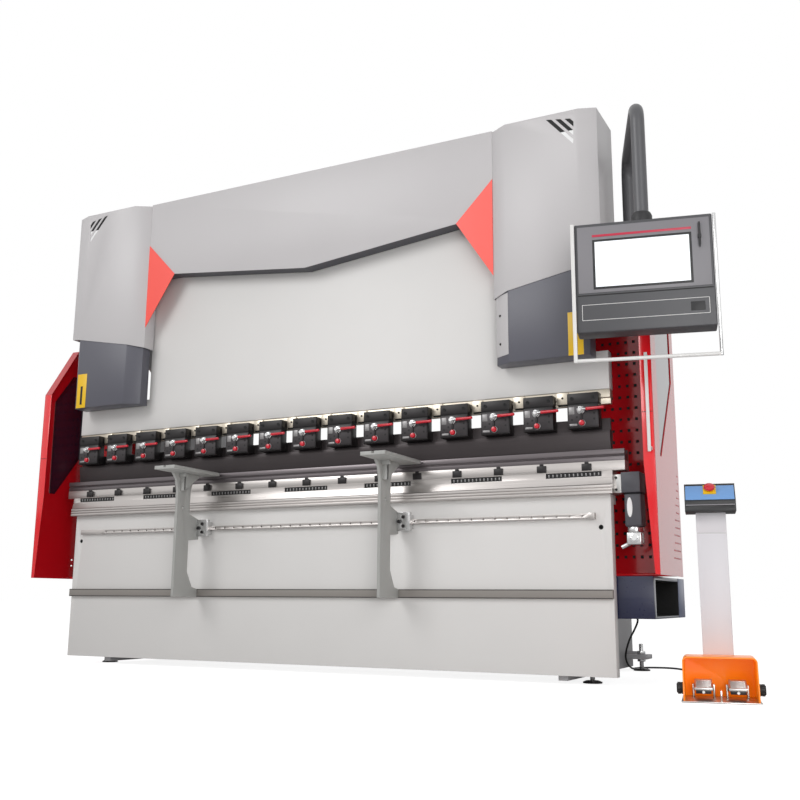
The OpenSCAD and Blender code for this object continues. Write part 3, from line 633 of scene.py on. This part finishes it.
@dataclass
class RamAndTools(Assembly):
    """Ram plate, tongue, punch, rods and the quick clamps."""

    width: float = 146.0
    front: float = -48.0
    low: float = 1138.0
    pad_gap: float = 6.0
    # A clamp body's blocks: low corner, high corner, finish and bevel. The SHADOW block is painted shade in the gap
    # between the upper and lower plates.
    plates: tuple[tuple[Triple, Triple, Finish, float], ...] = (
        ((-73, 1, 114), (73, 54, 164), BLACK_OXIDE, 3), ((-70, 4, 108), (70, 54, 116), SHADOW, 0),
        ((-73, 0, 0), (73, 54, 110), BLACK_OXIDE, 4), ((-71, 38, 1), (71, 67.6, 49), BLACK_OXIDE, 1),
        ((-65, -1.2, 66), (-39, 1, 100), CLAMP_GREY, 1), ((-68, -0.7, 8), (68, 1, 102), CLAMP_FACE, 1),
        ((-63, -0.8, 12), (-27, 1, 22), CLAMP_GREY, 0.6))

    def build(self) -> None:
        """Builds and dresses the ram and its clamps."""
        self.soften(RAM_PAINT, 2.0, "ram_plate")
        self.soften(TONGUE_STEEL, 1.0, "ram_tongue")
        self.soften(TOOL_STEEL, 0.6, "punch")
        self.paint(CHROME, "piston_rods")
        self.tongue_pads()
        self.clamps()

    def tongue_pads(self) -> None:
        """Makes the stepped pads that show between the clamps, with a line of painted shade under each."""
        piece = Piece("tongue_pads")
        for x in CLAMP_MIDDLES[:-1]:
            start = x + self.width / 2 + self.pad_gap
            end = x + CLAMP_PITCH - self.width / 2 - self.pad_gap
            piece.add(block((start, -6, 1262), (end, 14, 1318)), TONGUE_STEEL, 2)
            # A line of painted shade under the pad.
            piece.add(block((start + 4, 0, 1256), (end - 4, 14, 1262)), SHADOW, 1)
            piece.add(screw(((start + end) / 2, -6, 1292), FRONT, 5), BLACK_OXIDE)
        piece.done("ram", slot="tongue_steel")

    def clamps(self) -> None:
        """Makes the clamps, each worked out from its middle, front and lower edge."""
        bodies, hubs = Piece("clamp_body_set"), Piece("clamp_hub_set")
        handles, buttons = Piece("clamp_handle_set"), Piece("clamp_button_set")
        for x in CLAMP_MIDDLES:
            at = Vector((x, self.front, self.low))
            for low, high, finish, bevel in self.plates:
                bodies.add(block(at + Vector(low), at + Vector(high)), finish, bevel)
            # Discs of painted shade for the screw holes.
            for place in ((53, 1, 40), (53, 1, 66), (-51, 1, 40), (-28, 1, 52)):
                bodies.add(turned([(5, 0), (5, 2), (0, 2)], at + Vector(place), FRONT, 14), SHADOW)
            bodies.add(rod(at + Vector((-6, -3, 36)), at + Vector((-6, -3, 74)), 4.5), BLACK_OXIDE, 0.5)
            # Rings of painted shade for the counterbored holes near the top.
            for place in ((-51, 1.2, 140), (51, 1.2, 140)):
                bodies.add(turned([(8, 0), (8, 3), (5, 3), (5, 0.5), (0, 0.5)], at + Vector(place), FRONT, 16), SHADOW)
            hub = at + Vector((-8, 0, 84))
            hubs.add(turned([(0, 0), (19, 0), (19, 5), (15, 7), (15, 14), (0, 14)], hub, FRONT), BRIGHT_STEEL, 0.8)
            handles.add(turned([(0, 0), (11, 0), (11, 9), (8, 12), (0, 12)], hub + Vector((0, -14, 0)), FRONT),
                        BRIGHT_STEEL)
            handles.add(rod(hub + Vector((10, -20, 0)), hub + Vector((30, -20, 1)), 5), BRIGHT_STEEL)
            handles.add(turned([(0, 0), (6, 0), (7.5, 3), (6.4, 69), (7.4, 78), (6, 84), (0, 86)],
                               hub + Vector((28, -20, 0.5)), (1, 0, 0.02), 20), RED_PLASTIC)
            button = at + Vector((-4, 0, 24))
            buttons.add(turned([(0, 0), (16, 0), (16, 2), (14, 3)], button, FRONT), CLAMP_GREY)
            buttons.add(turned([(0, 1), (12.8, 1), (12.8, 9), (11, 14), (6, 15.6), (0, 16)], button, FRONT),
                        RED_PLASTIC)
        bodies.done("ram", ["clamp_bodies"], "black_oxide")
        hubs.done("ram", ["clamp_hubs"], "hub_steel")
        handles.done("ram", ["clamp_levers"], "red_handle")
        buttons.done("ram", ["release_buttons"], "red_handle")


@dataclass
class FramesAndHydraulics(Assembly):
    """Side frames, feet, cylinders, tank, cabinet and back gauge."""

    foot_x: float = 1440.0
    feet_y: Pair = (180.0, 1130.0)
    frame_face: float = 1365.0
    lug_end: float = 1485.0
    threads: int = 9
    bay_low: Triple = (1562.0, 105.0, 301.0)
    bay_high: Triple = (1759.0, 587.0, 459.0)

    def build(self) -> None:
        """Builds and dresses the frames and what they carry."""
        self.soften(FRAME_PAINT, 2.0, "left_frame", "right_frame", "cross_members", "hydraulic_unit")
        self.soften(CYLINDER_PAINT, 1.5, "cylinder_barrels")
        self.soften(BRUSHED, 1.0, "back_gauge")
        self.soften(CABINET_PAINT, 0.8, "electrical_cabinet")
        self.cabinet()
        self.feet()

    def cabinet(self) -> None:
        """Makes the cabinet's pale edge and painted shade on five sides of its open bay."""
        piece = Piece("cabinet_edge")
        piece.add(block((1759, 592, 291), (1761.4, 732, 475)), POST_PAINT, 0.5)
        # Thin sheets of painted shade on five sides of the bay.
        walls = ((0, self.bay_low, 1.0), (2, self.bay_low, 0.5), (2, self.bay_high, 0.5), (1, self.bay_low, 0.5),
                 (1, self.bay_high, 1.0))
        for axis, corner, half in walls:
            low, high = list(self.bay_low), list(self.bay_high)
            low[axis], high[axis] = corner[axis] - half, corner[axis] + half
            piece.add(block(low, high), SHADOW)
        piece.done("base", slot=self.slot_of("electrical_cabinet"))

    def feet(self) -> None:
        """Makes the levelling feet: lug, gusset, stud with nuts and the round pad."""
        piece = Piece("leveling_foot_set")
        for side in (-1, 1):
            for y in self.feet_y:
                x = side * self.foot_x
                piece.add(sided(side, (self.frame_face, y - 60, 62), (self.lug_end, y + 60, 86)), FRAME_PAINT, 3)
                piece.add(sided(side, (self.frame_face, y - 12, 86), (self.frame_face + 60, y - 8, 102)),
                          FRAME_PAINT, 1)
                piece.add(rod((x, y, 12), (x, y, 138), 11), BRIGHT_STEEL, 1)
                for i in range(self.threads):
                    z = 106 + i * 4.0
                    piece.add(turned([(10.5, 0), (12, 1.4), (10.5, 2.8)], (x, y, z), UP, 20), BRIGHT_STEEL)
                piece.add(rod((x, y, 86), (x, y, 104), 22.5, sides=6), BRIGHT_STEEL, 1.5)
                piece.add(rod((x, y, 48), (x, y, 62), 22.5, sides=6), BRIGHT_STEEL, 1.5)
                piece.add(turned([(0, 0), (44, 0), (44, 6), (30, 12), (0, 12)], (x, y, 0), UP), BLACK_OXIDE)
        piece.done("base", ["leveling_feet"], "machined_steel")


@dataclass
class Covers(Assembly):
    """Sheet covers over the cylinders and the ram."""

    lip: tuple[Pair, ...] = ((0.0, 2116.0), (890.0, 2213.0), (1084.0, 2213.0))
    lip_rise: float = 3.0

    def build(self) -> None:
        """Dresses the covers and adds vents, rims and screws."""
        self.soften(COVER_PAINT, 1.0, "centre_cover", "left_wing_cover", "right_wing_cover")
        self.soften(CYLINDER_PAINT, 1.0, "cylinder_covers")
        self.paint(ACCENT_PAINT, "accent_plates")
        self.vents()
        self.plates()

    def vents(self) -> None:
        """Backs the slanted vents with painted shade above and painted light below, and folds a lip under the centre
        cover whose dark grey is painted shade.
        """
        piece = Piece("cover_backing")
        for side in (-1, 1):
            # Behind each vent: painted shade in the upper slots and painted light for the bright surround in the lower
            # ones.
            for low, high, finish in ((2560.0, 2652.0, SHADOW), (2470.0, 2560.0, WHITE_LABEL_AND_VENT_LIGHT)):
                piece.add(sided(side, (1340.0, -133.9, low), (1537.0, -131, high)), finish)
            for (x1, z1), (x2, z2) in zip(self.lip, self.lip[1:]):
                strip = [(side * x1, z1), (side * x2, z2), (side * x2, z2 + self.lip_rise),
                         (side * x1, z1 + self.lip_rise)]
                # The lip's dark grey is painted shade under the cover.
                piece.add(profile(strip, Axis.Y, -81.9, 74), MOTOR_PAINT_AND_LIP_SHADE)
        piece.done("base", slot="cover_paint")

    def plates(self) -> None:
        """Puts the plain yellow plate, with a strip of painted shade, on each cylinder cover, and the left cover's pale
        strip with its screws, a light bracket drawn with the facet's painted highlight.
        """
        piece = Piece("cylinder_cover_plates")
        for side in (-1, 1):
            piece.add(sided(side, (1466.0, -135.2, 1460), (1537.0, -134, 1664)), YELLOW_PAINT, 0.5)
            # A strip of painted shade on each yellow plate.
            piece.add(sided(side, (1493.0, -135.8, 1480), (1509.0, -135, 1590)), SHADOW, 0.3)
        # A pale strip on the cover's inner facet: a light bracket, with the facet's painted highlight on it.
        facet = [(1098, -81), (1097, -82.6), (1175, -134.6), (1176, -133)]
        piece.add(profile(facet, Axis.Z, 1500, 300), COVER_PAINT, 0.3)
        for z in (1560.0, 1700.0):
            piece.add(screw((1124.0, -99.6, z), (-0.555, -0.832, 0), 6), BLACK_OXIDE)
        piece.done("base", slot="black_oxide")


@dataclass
class Guards(Assembly):
    """Red side guards with smoked windows."""

    side_x: float = 1829.0
    rim_front: float = -100.2
    hole_rows: int = 24
    hole_columns: int = 7
    hole_pitch: Pair = (38.0, 54.0)

    def build(self) -> None:
        """Dresses the guards, their windows, screws and the handle bar."""
        self.paint(GUARD_PAINT, "left_guard", "right_guard")
        self.paint(SMOKED, "guard_windows")
        self.soften(WHITE_PAINT, 1.5, "guard_handle")
        self.rims()
        self.screws()

    def rims(self) -> None:
        """Lays each guard's front rim, painted brighter as painted light, with a seam of painted shade, the lower tube,
        also painted light, and painted shade behind its holes.
        """
        piece = Piece("guard_rims")
        for side in (-1, 1):
            rim = [(side * 1777.5, 1570), (side * 1777.5, 960), (side * 1807.5, 479), (side * 1826.5, 479),
                   (side * 1826.5, 1570)]
            piece.add(profile(rim, Axis.Y, self.rim_front, 3.5), GUARD_RIM_PAINTED_LIGHT, 0.8)
            # A strip of painted shade along the rim's seam.
            piece.add(sided(side, (1779, -100.5, 1180), (1826, -99, 1182.5)), SHADOW)
            piece.add(rod((side * 1366.0, 204, 485), (side * 1822.0, 204, 485), 7), GUARD_RIM_PAINTED_LIGHT)
            # Painted shade behind each hole, so that no bright surround shows through.
            for row in range(self.hole_rows):
                for column in range(self.hole_columns):
                    x, z = 1516 + column * self.hole_pitch[0], 560 + row * self.hole_pitch[1]
                    piece.add(sided(side, (x - 1, 243.5, z - 1), (x + 15, 246, z + 15)), SHADOW)
        piece.done("base", slot="guard_paint")

    def screws(self) -> None:
        """Puts small screws round each window."""
        piece = Piece("guard_window_screws")
        rim = [(9, 1264), (5, 1080), (12, 1010), (28, 1063), (-2, 1440), (18, 1560), (70, 1628), (118, 1690),
               (152, 1206), (90, 1118), (235, 1315), (290, 1700), (290, 1420), (200, 1702)]
        for side in (-1, 1):
            for y, z in rim:
                piece.add(screw((side * (self.side_x - 4.2), y, z), (-side, 0, 0), 4.5), BLACK_OXIDE)
        piece.done("base", slot="black_oxide")


@dataclass
class PendantConsole(Assembly):
    """Pendant arm and the control console that hangs from it."""

    half: float = 280.0
    front: float = -55.0
    height: float = 476.0
    screen_low: Pair = (-196.0, 194.0)
    screen_high: Pair = (186.0, 392.0)
    screen_rim: float = 10.0

    def build(self) -> None:
        """Builds and dresses the arm and the console."""
        self.paint(PENDANT_PAINT, "pendant_arm")
        self.soften(PENDANT_PAINT, 1.5, "pendant_base")
        self.case()
        self.screen()
        self.handles()
        self.stylus()

    def case(self) -> None:
        """Makes the case with its collar, bezel, stripe, lower panel and port door."""
        piece = Piece("console_case", CONSOLE)
        y = self.front
        piece.add(block((-self.half, y + 4, 0), (self.half, 55, self.height)), CONSOLE_PAINT, 6, 3)
        piece.add(block((-self.half + 12, y + 1.5, 170), (self.half - 12, y + 6, self.height - 14)), BEZEL_AND_BOX_HIGHLIGHT, 2)
        left, right = self.screen_low[0] - self.screen_rim, self.screen_high[0] + self.screen_rim
        low, high = self.screen_low[1] - self.screen_rim, self.screen_high[1] + self.screen_rim
        piece.add(block((left, y + 0.8, low), (right, y + 2, high)), BLACK_PLASTIC, 0.5)
        piece.add(block((left, y + 0.4, high + 12), (right, y + 2, high + 22)), RED_STRIPE, 0.4)
        # A line of painted shade in the gap under the bezel.
        piece.add(block((-self.half + 8, y + 2.5, 158), (self.half - 8, y + 6, 162)), SHADOW)
        for x1, z1, x2, z2 in ((-256, 118, 254, 120), (-256, 52, 254, 54), (-256, 52, -254, 120), (252, 52, 254, 120)):
            piece.add(block((x1, y + 3, z1), (x2, y + 5, z2)), WHITE_PAINT)
        piece.add(block((180, y + 2.4, 66), (236, y + 5, 104)), BLACK_PLASTIC, 2)
        piece.add(turned([(0, 0), (44, 0), (44, 30), (38, 43), (30.2, 43), (30.2, 12), (0, 12)],
                         (0, 0, self.height + 1), UP), BLACK_PLASTIC)
        piece.done("console", ["console_body"], "console_paint")

    def screen(self) -> None:
        """Makes the lit screen, with no picture on it."""
        piece = Piece("console_display", CONSOLE)
        y = self.front
        (left, low), (right, high) = self.screen_low, self.screen_high
        piece.add(block((left, y + 0.2, low), (right, y + 3, high)), SCREEN_GLASS, 0.5)
        piece.done("console", ["console_screen"], "screen")

    def handles(self) -> None:
        """Makes the square left bar, the round lower bar and the thin right rod."""
        piece = Piece("console_bars", CONSOLE)
        y = self.front
        piece.add(block((-self.half - 15.8, y - 7.8, -127.8), (-self.half, y + 7.8, self.height)), WHITE_PAINT, 2.5)
        piece.add(rod((-self.half, y, -120), (self.half + 8, y, -120), 7.8), WHITE_PAINT)
        piece.add(rod((self.half + 8, y, -127), (self.half + 8, y, self.height - 2), 7), BRIGHT_STEEL, 1.5)
        piece.done("console", ["console_handle"], "pale_handle")

    def stylus(self) -> None:
        """Makes the stylus in its clip."""
        piece = Piece("stylus_and_clip", CONSOLE)
        y = self.front - 6
        piece.add(turned([(0, 0), (1.5, 0), (4.6, 14), (4.8, 100), (3.5, 109), (0, 109.5)],
                         (228, y, 330.3), UP, 20), BLACK_PLASTIC)
        piece.add(block((221.3, y - 5.7, 370), (234.7, y + 6, 386)), BLACK_PLASTIC, 1.5)
        piece.done("console", ["console_stylus"], "black_plastic")


@dataclass
class PedalStand(Assembly):
    """Pedal box, column, control box and emergency stop."""

    column_half: float = 58.0
    column_top: float = 720.0
    seam: float = 636.0
    pedal_x: float = 62.0
    pedal_half: float = 33.0
    hinge_y: float = 60.0
    hinge_z: float = 42.0
    knob: Triple = (135.0, -65.0, 48.0)
    knob_ribs: int = 12

    def build(self) -> None:
        """Builds and dresses the stand."""
        # The hood's paint carries a painted glow.
        self.soften(HOOD_PAINT_WITH_PAINTED_GLOW, 1.5, "pedal_hood")
        self.soften(BLACK_PLASTIC, 2.5, "control_box")
        self.column()
        self.base()
        self.knobs()
        self.pedals()
        self.stop_button()

    def column(self) -> None:
        """Makes the column in two lengths, with the seam between them."""
        piece = Piece("stand_column", STAND)
        half, seam = self.column_half, self.seam
        piece.add(block((-half, 125.2, 0), (half, 185, seam)), COLUMN_PAINT, 2.5)
        piece.add(block((-half + 0.6, 125.8, seam - 1), (half - 0.6, 184.4, seam + 4)), COVER_PAINT)
        piece.add(block((-half, 125.2, seam + 3), (half, 185, self.column_top)), COLUMN_PAINT, 2.5)
        piece.done("base", ["pedal_column"], "column_paint")

    def base(self) -> None:
        """Makes the bevelled base plate, the bearings, their pins and the chrome divider."""
        piece = Piece("pedal_base_plate", STAND)
        piece.add(block((-143, -125, 0), (143, 125, 6)), BRUSHED, 2)
        y, z = self.hinge_y, self.hinge_z
        for x in (-self.pedal_x, self.pedal_x):
            for side in (-1, 1):
                piece.add(block((x + side * 38 - 4, y - 14, 5), (x + side * 38 + 4, y + 14, z + 14)), BRUSHED, 2)
            piece.add(rod((x - 41.8, y, z), (x + 41.8, y, z), 4.9), BRIGHT_STEEL)
        piece.add(block((-3, -118, 6), (3, 60, 46)), CHROME, 1.5)
        piece.done("base", ["pedal_base"], "stand_steel")

    def knobs(self) -> None:
        """Makes the ribbed black knobs on the hood's sides."""
        piece = Piece("hood_knob_set", STAND)
        for side in (-1, 1):
            start, middle_y, middle_z = self.knob
            piece.add(turned([(0, 0), (22, 0), (22, 6), (19, 8), (19, 20), (16, 23.8), (0, 23.8)],
                             (side * start, middle_y, middle_z), (side, 0, 0)), BLACK_PLASTIC)
            for i in range(self.knob_ribs):
                angle = i * 2 * math.pi / self.knob_ribs
                y, z = middle_y + 19.5 * math.cos(angle), middle_z + 19.5 * math.sin(angle)
                piece.add(rod((side * (start + 8), y, z), (side * (start + 20), y, z), 2.6, sides=10), BLACK_PLASTIC)
        piece.done("base", ["hood_knobs"], "black_plastic")

    def pedals(self) -> None:
        """Makes each pedal with its hub, plate and raised tread."""
        half, slope = self.pedal_half, 0.162
        for name, x in (("left", -self.pedal_x), ("right", self.pedal_x)):
            piece = Piece(f"{name}_tread", STAND)
            piece.add(profile([(-80, 42.5), (-80, 52), (56, 74), (68, 74), (68, 46), (10, 42.5)], Axis.X, x - half,
                              2 * half), BRUSHED, 1.5)
            piece.add(block((x - 28, -79.2, 30), (x + 28, 36, 44)), BLACK_OXIDE, 2)
            piece.add(screw((x, -80, 36), FRONT, 6), BRUSHED)
            piece.add(rod((x - half, self.hinge_y, self.hinge_z), (x + half, self.hinge_y, self.hinge_z), 10.9),
                      BRUSHED, 1)
            for i in range(8):
                y, z = -70 + i * 14, 52.2 + (10 + i * 14) * slope
                piece.add(block((x - 28, y - 2, z), (x + 28, y + 2, z + 2)), BRUSHED, 0.6)
            piece.done(f"{name}_foot_pedal", [f"{name}_pedal"], "stand_steel")

    def stop_button(self) -> None:
        """Makes the emergency stop's button, the sloped panel under it and the painted highlight along the control
        box's edge.
        """
        rise, run, share = 76, 74, 0.62
        box = Matrix.Translation((0, 65, self.column_top))
        slope = Matrix.Translation((0, run * share, 42 + rise * share)) @ Matrix.Rotation(math.atan2(rise, run), 4, "X")
        seat = STAND @ box @ slope
        piece = Piece("stop_mushroom", seat)
        piece.add(turned([(0, -24), (11.9, -24), (11.9, 13), (21, 13), (22, 15), (20, 21), (12, 24.5), (0, 25)],
                         (0, 0, 0), UP), RED_PLASTIC)
        piece.done("emergency_stop", ["estop_button"], "red_handle")
        panel = Piece("sloped_panel", seat)
        panel.add(block((-94, -59.5, 0), (94, 26.0, 2)), PANEL_PAINT, 0.6)
        panel.add(block((-25, -28, 1), (25, 26, 6)), YELLOW_PAINT, 1.5)
        panel.done("base", ["control_panel"], "panel_blue")
        # A grey line painted on the black box as the highlight along its edge.
        band = Piece("box_band", STAND @ box)
        band.add(block((-94, -0.6, 24), (94, 1, 28)), BEZEL_AND_BOX_HIGHLIGHT, 0.5)
        band.done("base", slot="black_plastic")


@dataclass
class PedalCord(Assembly):
    """Cord from the cabinet to the pedal stand."""

    width: float = 10.0

    def route(self) -> list[Triple]:
        """Gives the points that the part's source has too, in the frame of the record."""
        r = self.width / 2
        back = 250 / 2 + 60 + self.width / 4
        away = Vector((-math.sin(STAND_TURN), math.cos(STAND_TURN)))
        stand = Vector((STAND_X, STAND_Y))
        points = [
            (1530, 700, 290 - self.width / 4), (1530, 700, 264), (1490, 790, 222), (1434, 900, 165),
            (1388, 1000, 90), (1378, 1070, 38), (1379, 1180, r + 1), (1389, 1266, r + 0.4),
            (1462, 1341, r), (1583, 1315, r + 0.5), (1697, 1107, r + 0.1), (1826, 600, r + 0.4),
            (*(stand + (back + 130) * away), r), (*(stand + back * away), r),
        ]
        return [tuple(MACHINE @ Vector(p)) for p in points]

    def build(self) -> None:
        points = self.route()
        curve = bpy.data.curves.new("pedal_cord_line", "CURVE")
        curve.dimensions = "3D"
        curve.bevel_depth = self.width / 2000.0
        curve.bevel_resolution = 6
        curve.use_fill_caps = True
        line = curve.splines.new("POLY")
        smooth = self.smoothed(points, 4)
        line.points.add(len(smooth) - 1)
        for point, place in zip(line.points, smooth):
            point.co = (*place, 1.0)
        curve.materials.append(RUBBER.make())
        made = bpy.data.objects.new("pedal_cord_line", curve)
        show(made)
        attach(made, "base")
        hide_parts("pedal_cord")

    @staticmethod
    def smoothed(points: list[Triple], steps: int) -> list[Triple]:
        """Rounds a route off.

        Args:
            points: the route.
            steps: points that each leg becomes.

        Returns:
            Points of a Catmull-Rom curve through the route.
        """
        route = [Vector(p) for p in points]
        ends = [route[0] * 2 - route[1]] + route + [route[-1] * 2 - route[-2]]
        found = []
        for a, b, c, d in zip(ends, ends[1:], ends[2:], ends[3:]):
            for i in range(steps):
                t = i / steps
                found.append(0.5 * ((b * 2) + (c - a) * t + (a * 2 - b * 5 + c * 4 - d) * t * t
                                    + (b * 3 - a - c * 3 + d) * t ** 3))
        found.append(route[-1])
        return [(p.x, p.y, max(p.z, 0.005)) for p in found]


@dataclass
class Studio:
    """Floor, light and camera."""

    lens: float = 44.405
    yaw: float = 0.46855
    pitch: float = 0.19968
    roll: float = 0.00659
    eye: Triple = (2752.28, -4373.73, 366.53)
    floor_grey: float = 0.82
    floor_glow: float = 0.84
    sky_light: float = 0.27

    def camera(self) -> None:
        """Puts the camera where the photograph was taken from."""
        ahead = Vector((-math.sin(self.yaw) * math.cos(self.pitch), math.cos(self.yaw) * math.cos(self.pitch),
                        math.sin(self.pitch)))
        level = Vector((math.cos(self.yaw), math.sin(self.yaw), 0.0))
        upright = level.cross(ahead)
        right = level * math.cos(self.roll) + upright * math.sin(self.roll)
        up = upright * math.cos(self.roll) - level * math.sin(self.roll)
        data = bpy.data.cameras.new("viewpoint")
        data.lens = self.lens
        data.sensor_width = 36.0
        data.clip_end = 200.0
        eye = bpy.data.objects.new("viewpoint", data)
        turn = Matrix((right, up, -ahead)).transposed().to_4x4()
        eye.matrix_world = Matrix.Translation(MACHINE @ Vector(self.eye)) @ turn
        show(eye)
        bpy.context.scene.camera = eye

    def floor(self) -> None:
        """Lays a plain pale floor that keeps the shadow."""
        shape = bmesh.new()
        bmesh.ops.create_grid(shape, x_segments=1, y_segments=1, size=60.0)
        data = bpy.data.meshes.new("studio_floor")
        shape.to_mesh(data)
        shape.free()
        material = bpy.data.materials.new("white_studio_floor")
        material.use_nodes = True
        tree = material.node_tree
        tree.nodes.clear()
        path = add_node(tree, "ShaderNodeLightPath")
        matt = add_node(tree, "ShaderNodeBsdfDiffuse", {"Color": (*[self.floor_grey] * 3, 1.0)})
        white = add_node(tree, "ShaderNodeEmission", {"Strength": self.floor_glow})
        none = add_node(tree, "ShaderNodeEmission", {"Strength": 0.0})
        seen = add_node(tree, "ShaderNodeMixShader", None,
                        {0: path.outputs["Is Camera Ray"], 1: none.outputs[0], 2: white.outputs[0]})
        both = add_node(tree, "ShaderNodeAddShader", None, {0: matt.outputs[0], 1: seen.outputs[0]})
        add_node(tree, "ShaderNodeOutputMaterial", None, {"Surface": both.outputs[0]})
        data.materials.append(material)
        floor = bpy.data.objects.new("studio_floor", data)
        show(floor)

    def sky(self) -> None:
        """Sets a white surround that lights the machine evenly."""
        world = bpy.data.worlds.new("white_surround")
        bpy.context.scene.world = world
        world.use_nodes = True
        tree = world.node_tree
        tree.nodes.clear()
        path = add_node(tree, "ShaderNodeLightPath")
        glossy = add_node(tree, "ShaderNodeMath", {"operation": "MAXIMUM"},
                          {0: path.outputs["Is Camera Ray"], 1: path.outputs["Is Glossy Ray"]})
        seen = add_node(tree, "ShaderNodeMath", {"operation": "MAXIMUM"},
                        {0: glossy.outputs[0], 1: path.outputs["Is Transmission Ray"]})
        light = add_node(tree, "ShaderNodeBackground", {"Color": WHITE, "Strength": self.sky_light})
        white = add_node(tree, "ShaderNodeBackground", {"Color": WHITE, "Strength": 1.0})
        mix = add_node(tree, "ShaderNodeMixShader", None,
                       {0: seen.outputs[0], 1: light.outputs[0], 2: white.outputs[0]})
        add_node(tree, "ShaderNodeOutputWorld", None, {"Surface": mix.outputs[0]})

    def lamp(self, name: str, place: Point, target: Point, size: float, power: float) -> None:
        """Hangs a soft lamp.

        Args:
            name: the lamp's name.
            place: where it hangs, in metres.
            target: what it points at, in metres.
            size: its side, in metres.
            power: its power, in watts.
        """
        data = bpy.data.lights.new(name, "AREA")
        data.shape = "SQUARE"
        data.size = size
        data.energy = power
        lamp = bpy.data.objects.new(name, data)
        lamp.location = Vector(place)
        lamp.rotation_euler = (Vector(target) - Vector(place)).to_track_quat("-Z", "Y").to_euler()
        show(lamp)

    def build(self) -> None:
        """Builds the studio."""
        bpy.context.scene.view_settings.view_transform = "Standard"
        self.camera()
        self.floor()
        self.sky()
        self.lamp("key_lamp", (-3.5, -7.0, 5.5), (0.0, 0.0, 1.2), 4.0, 250.0)
        self.lamp("fill_lamp", (5.5, -6.0, 3.5), (0.6, 0.0, 1.2), 4.0, 108.0)
        self.lamp("low_lamp", (3.6, -5.5, 0.9), (1.0, -0.4, 0.4), 1.8, 72.0)


def main() -> None:
    """Builds every sub-assembly and the studio, in order."""
    logging.basicConfig(level=logging.INFO, format="%(message)s")
    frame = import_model()
    Studio().build()
    for kind in (PedalCord, BedAndTable, CrowningDrive, SheetSupports, RamAndTools, FramesAndHydraulics, Covers,
                 Guards, PendantConsole, PedalStand):
        kind(frame).build()
        LOG.info("built %s", kind.__name__)


if __name__ == "__main__":
    main()
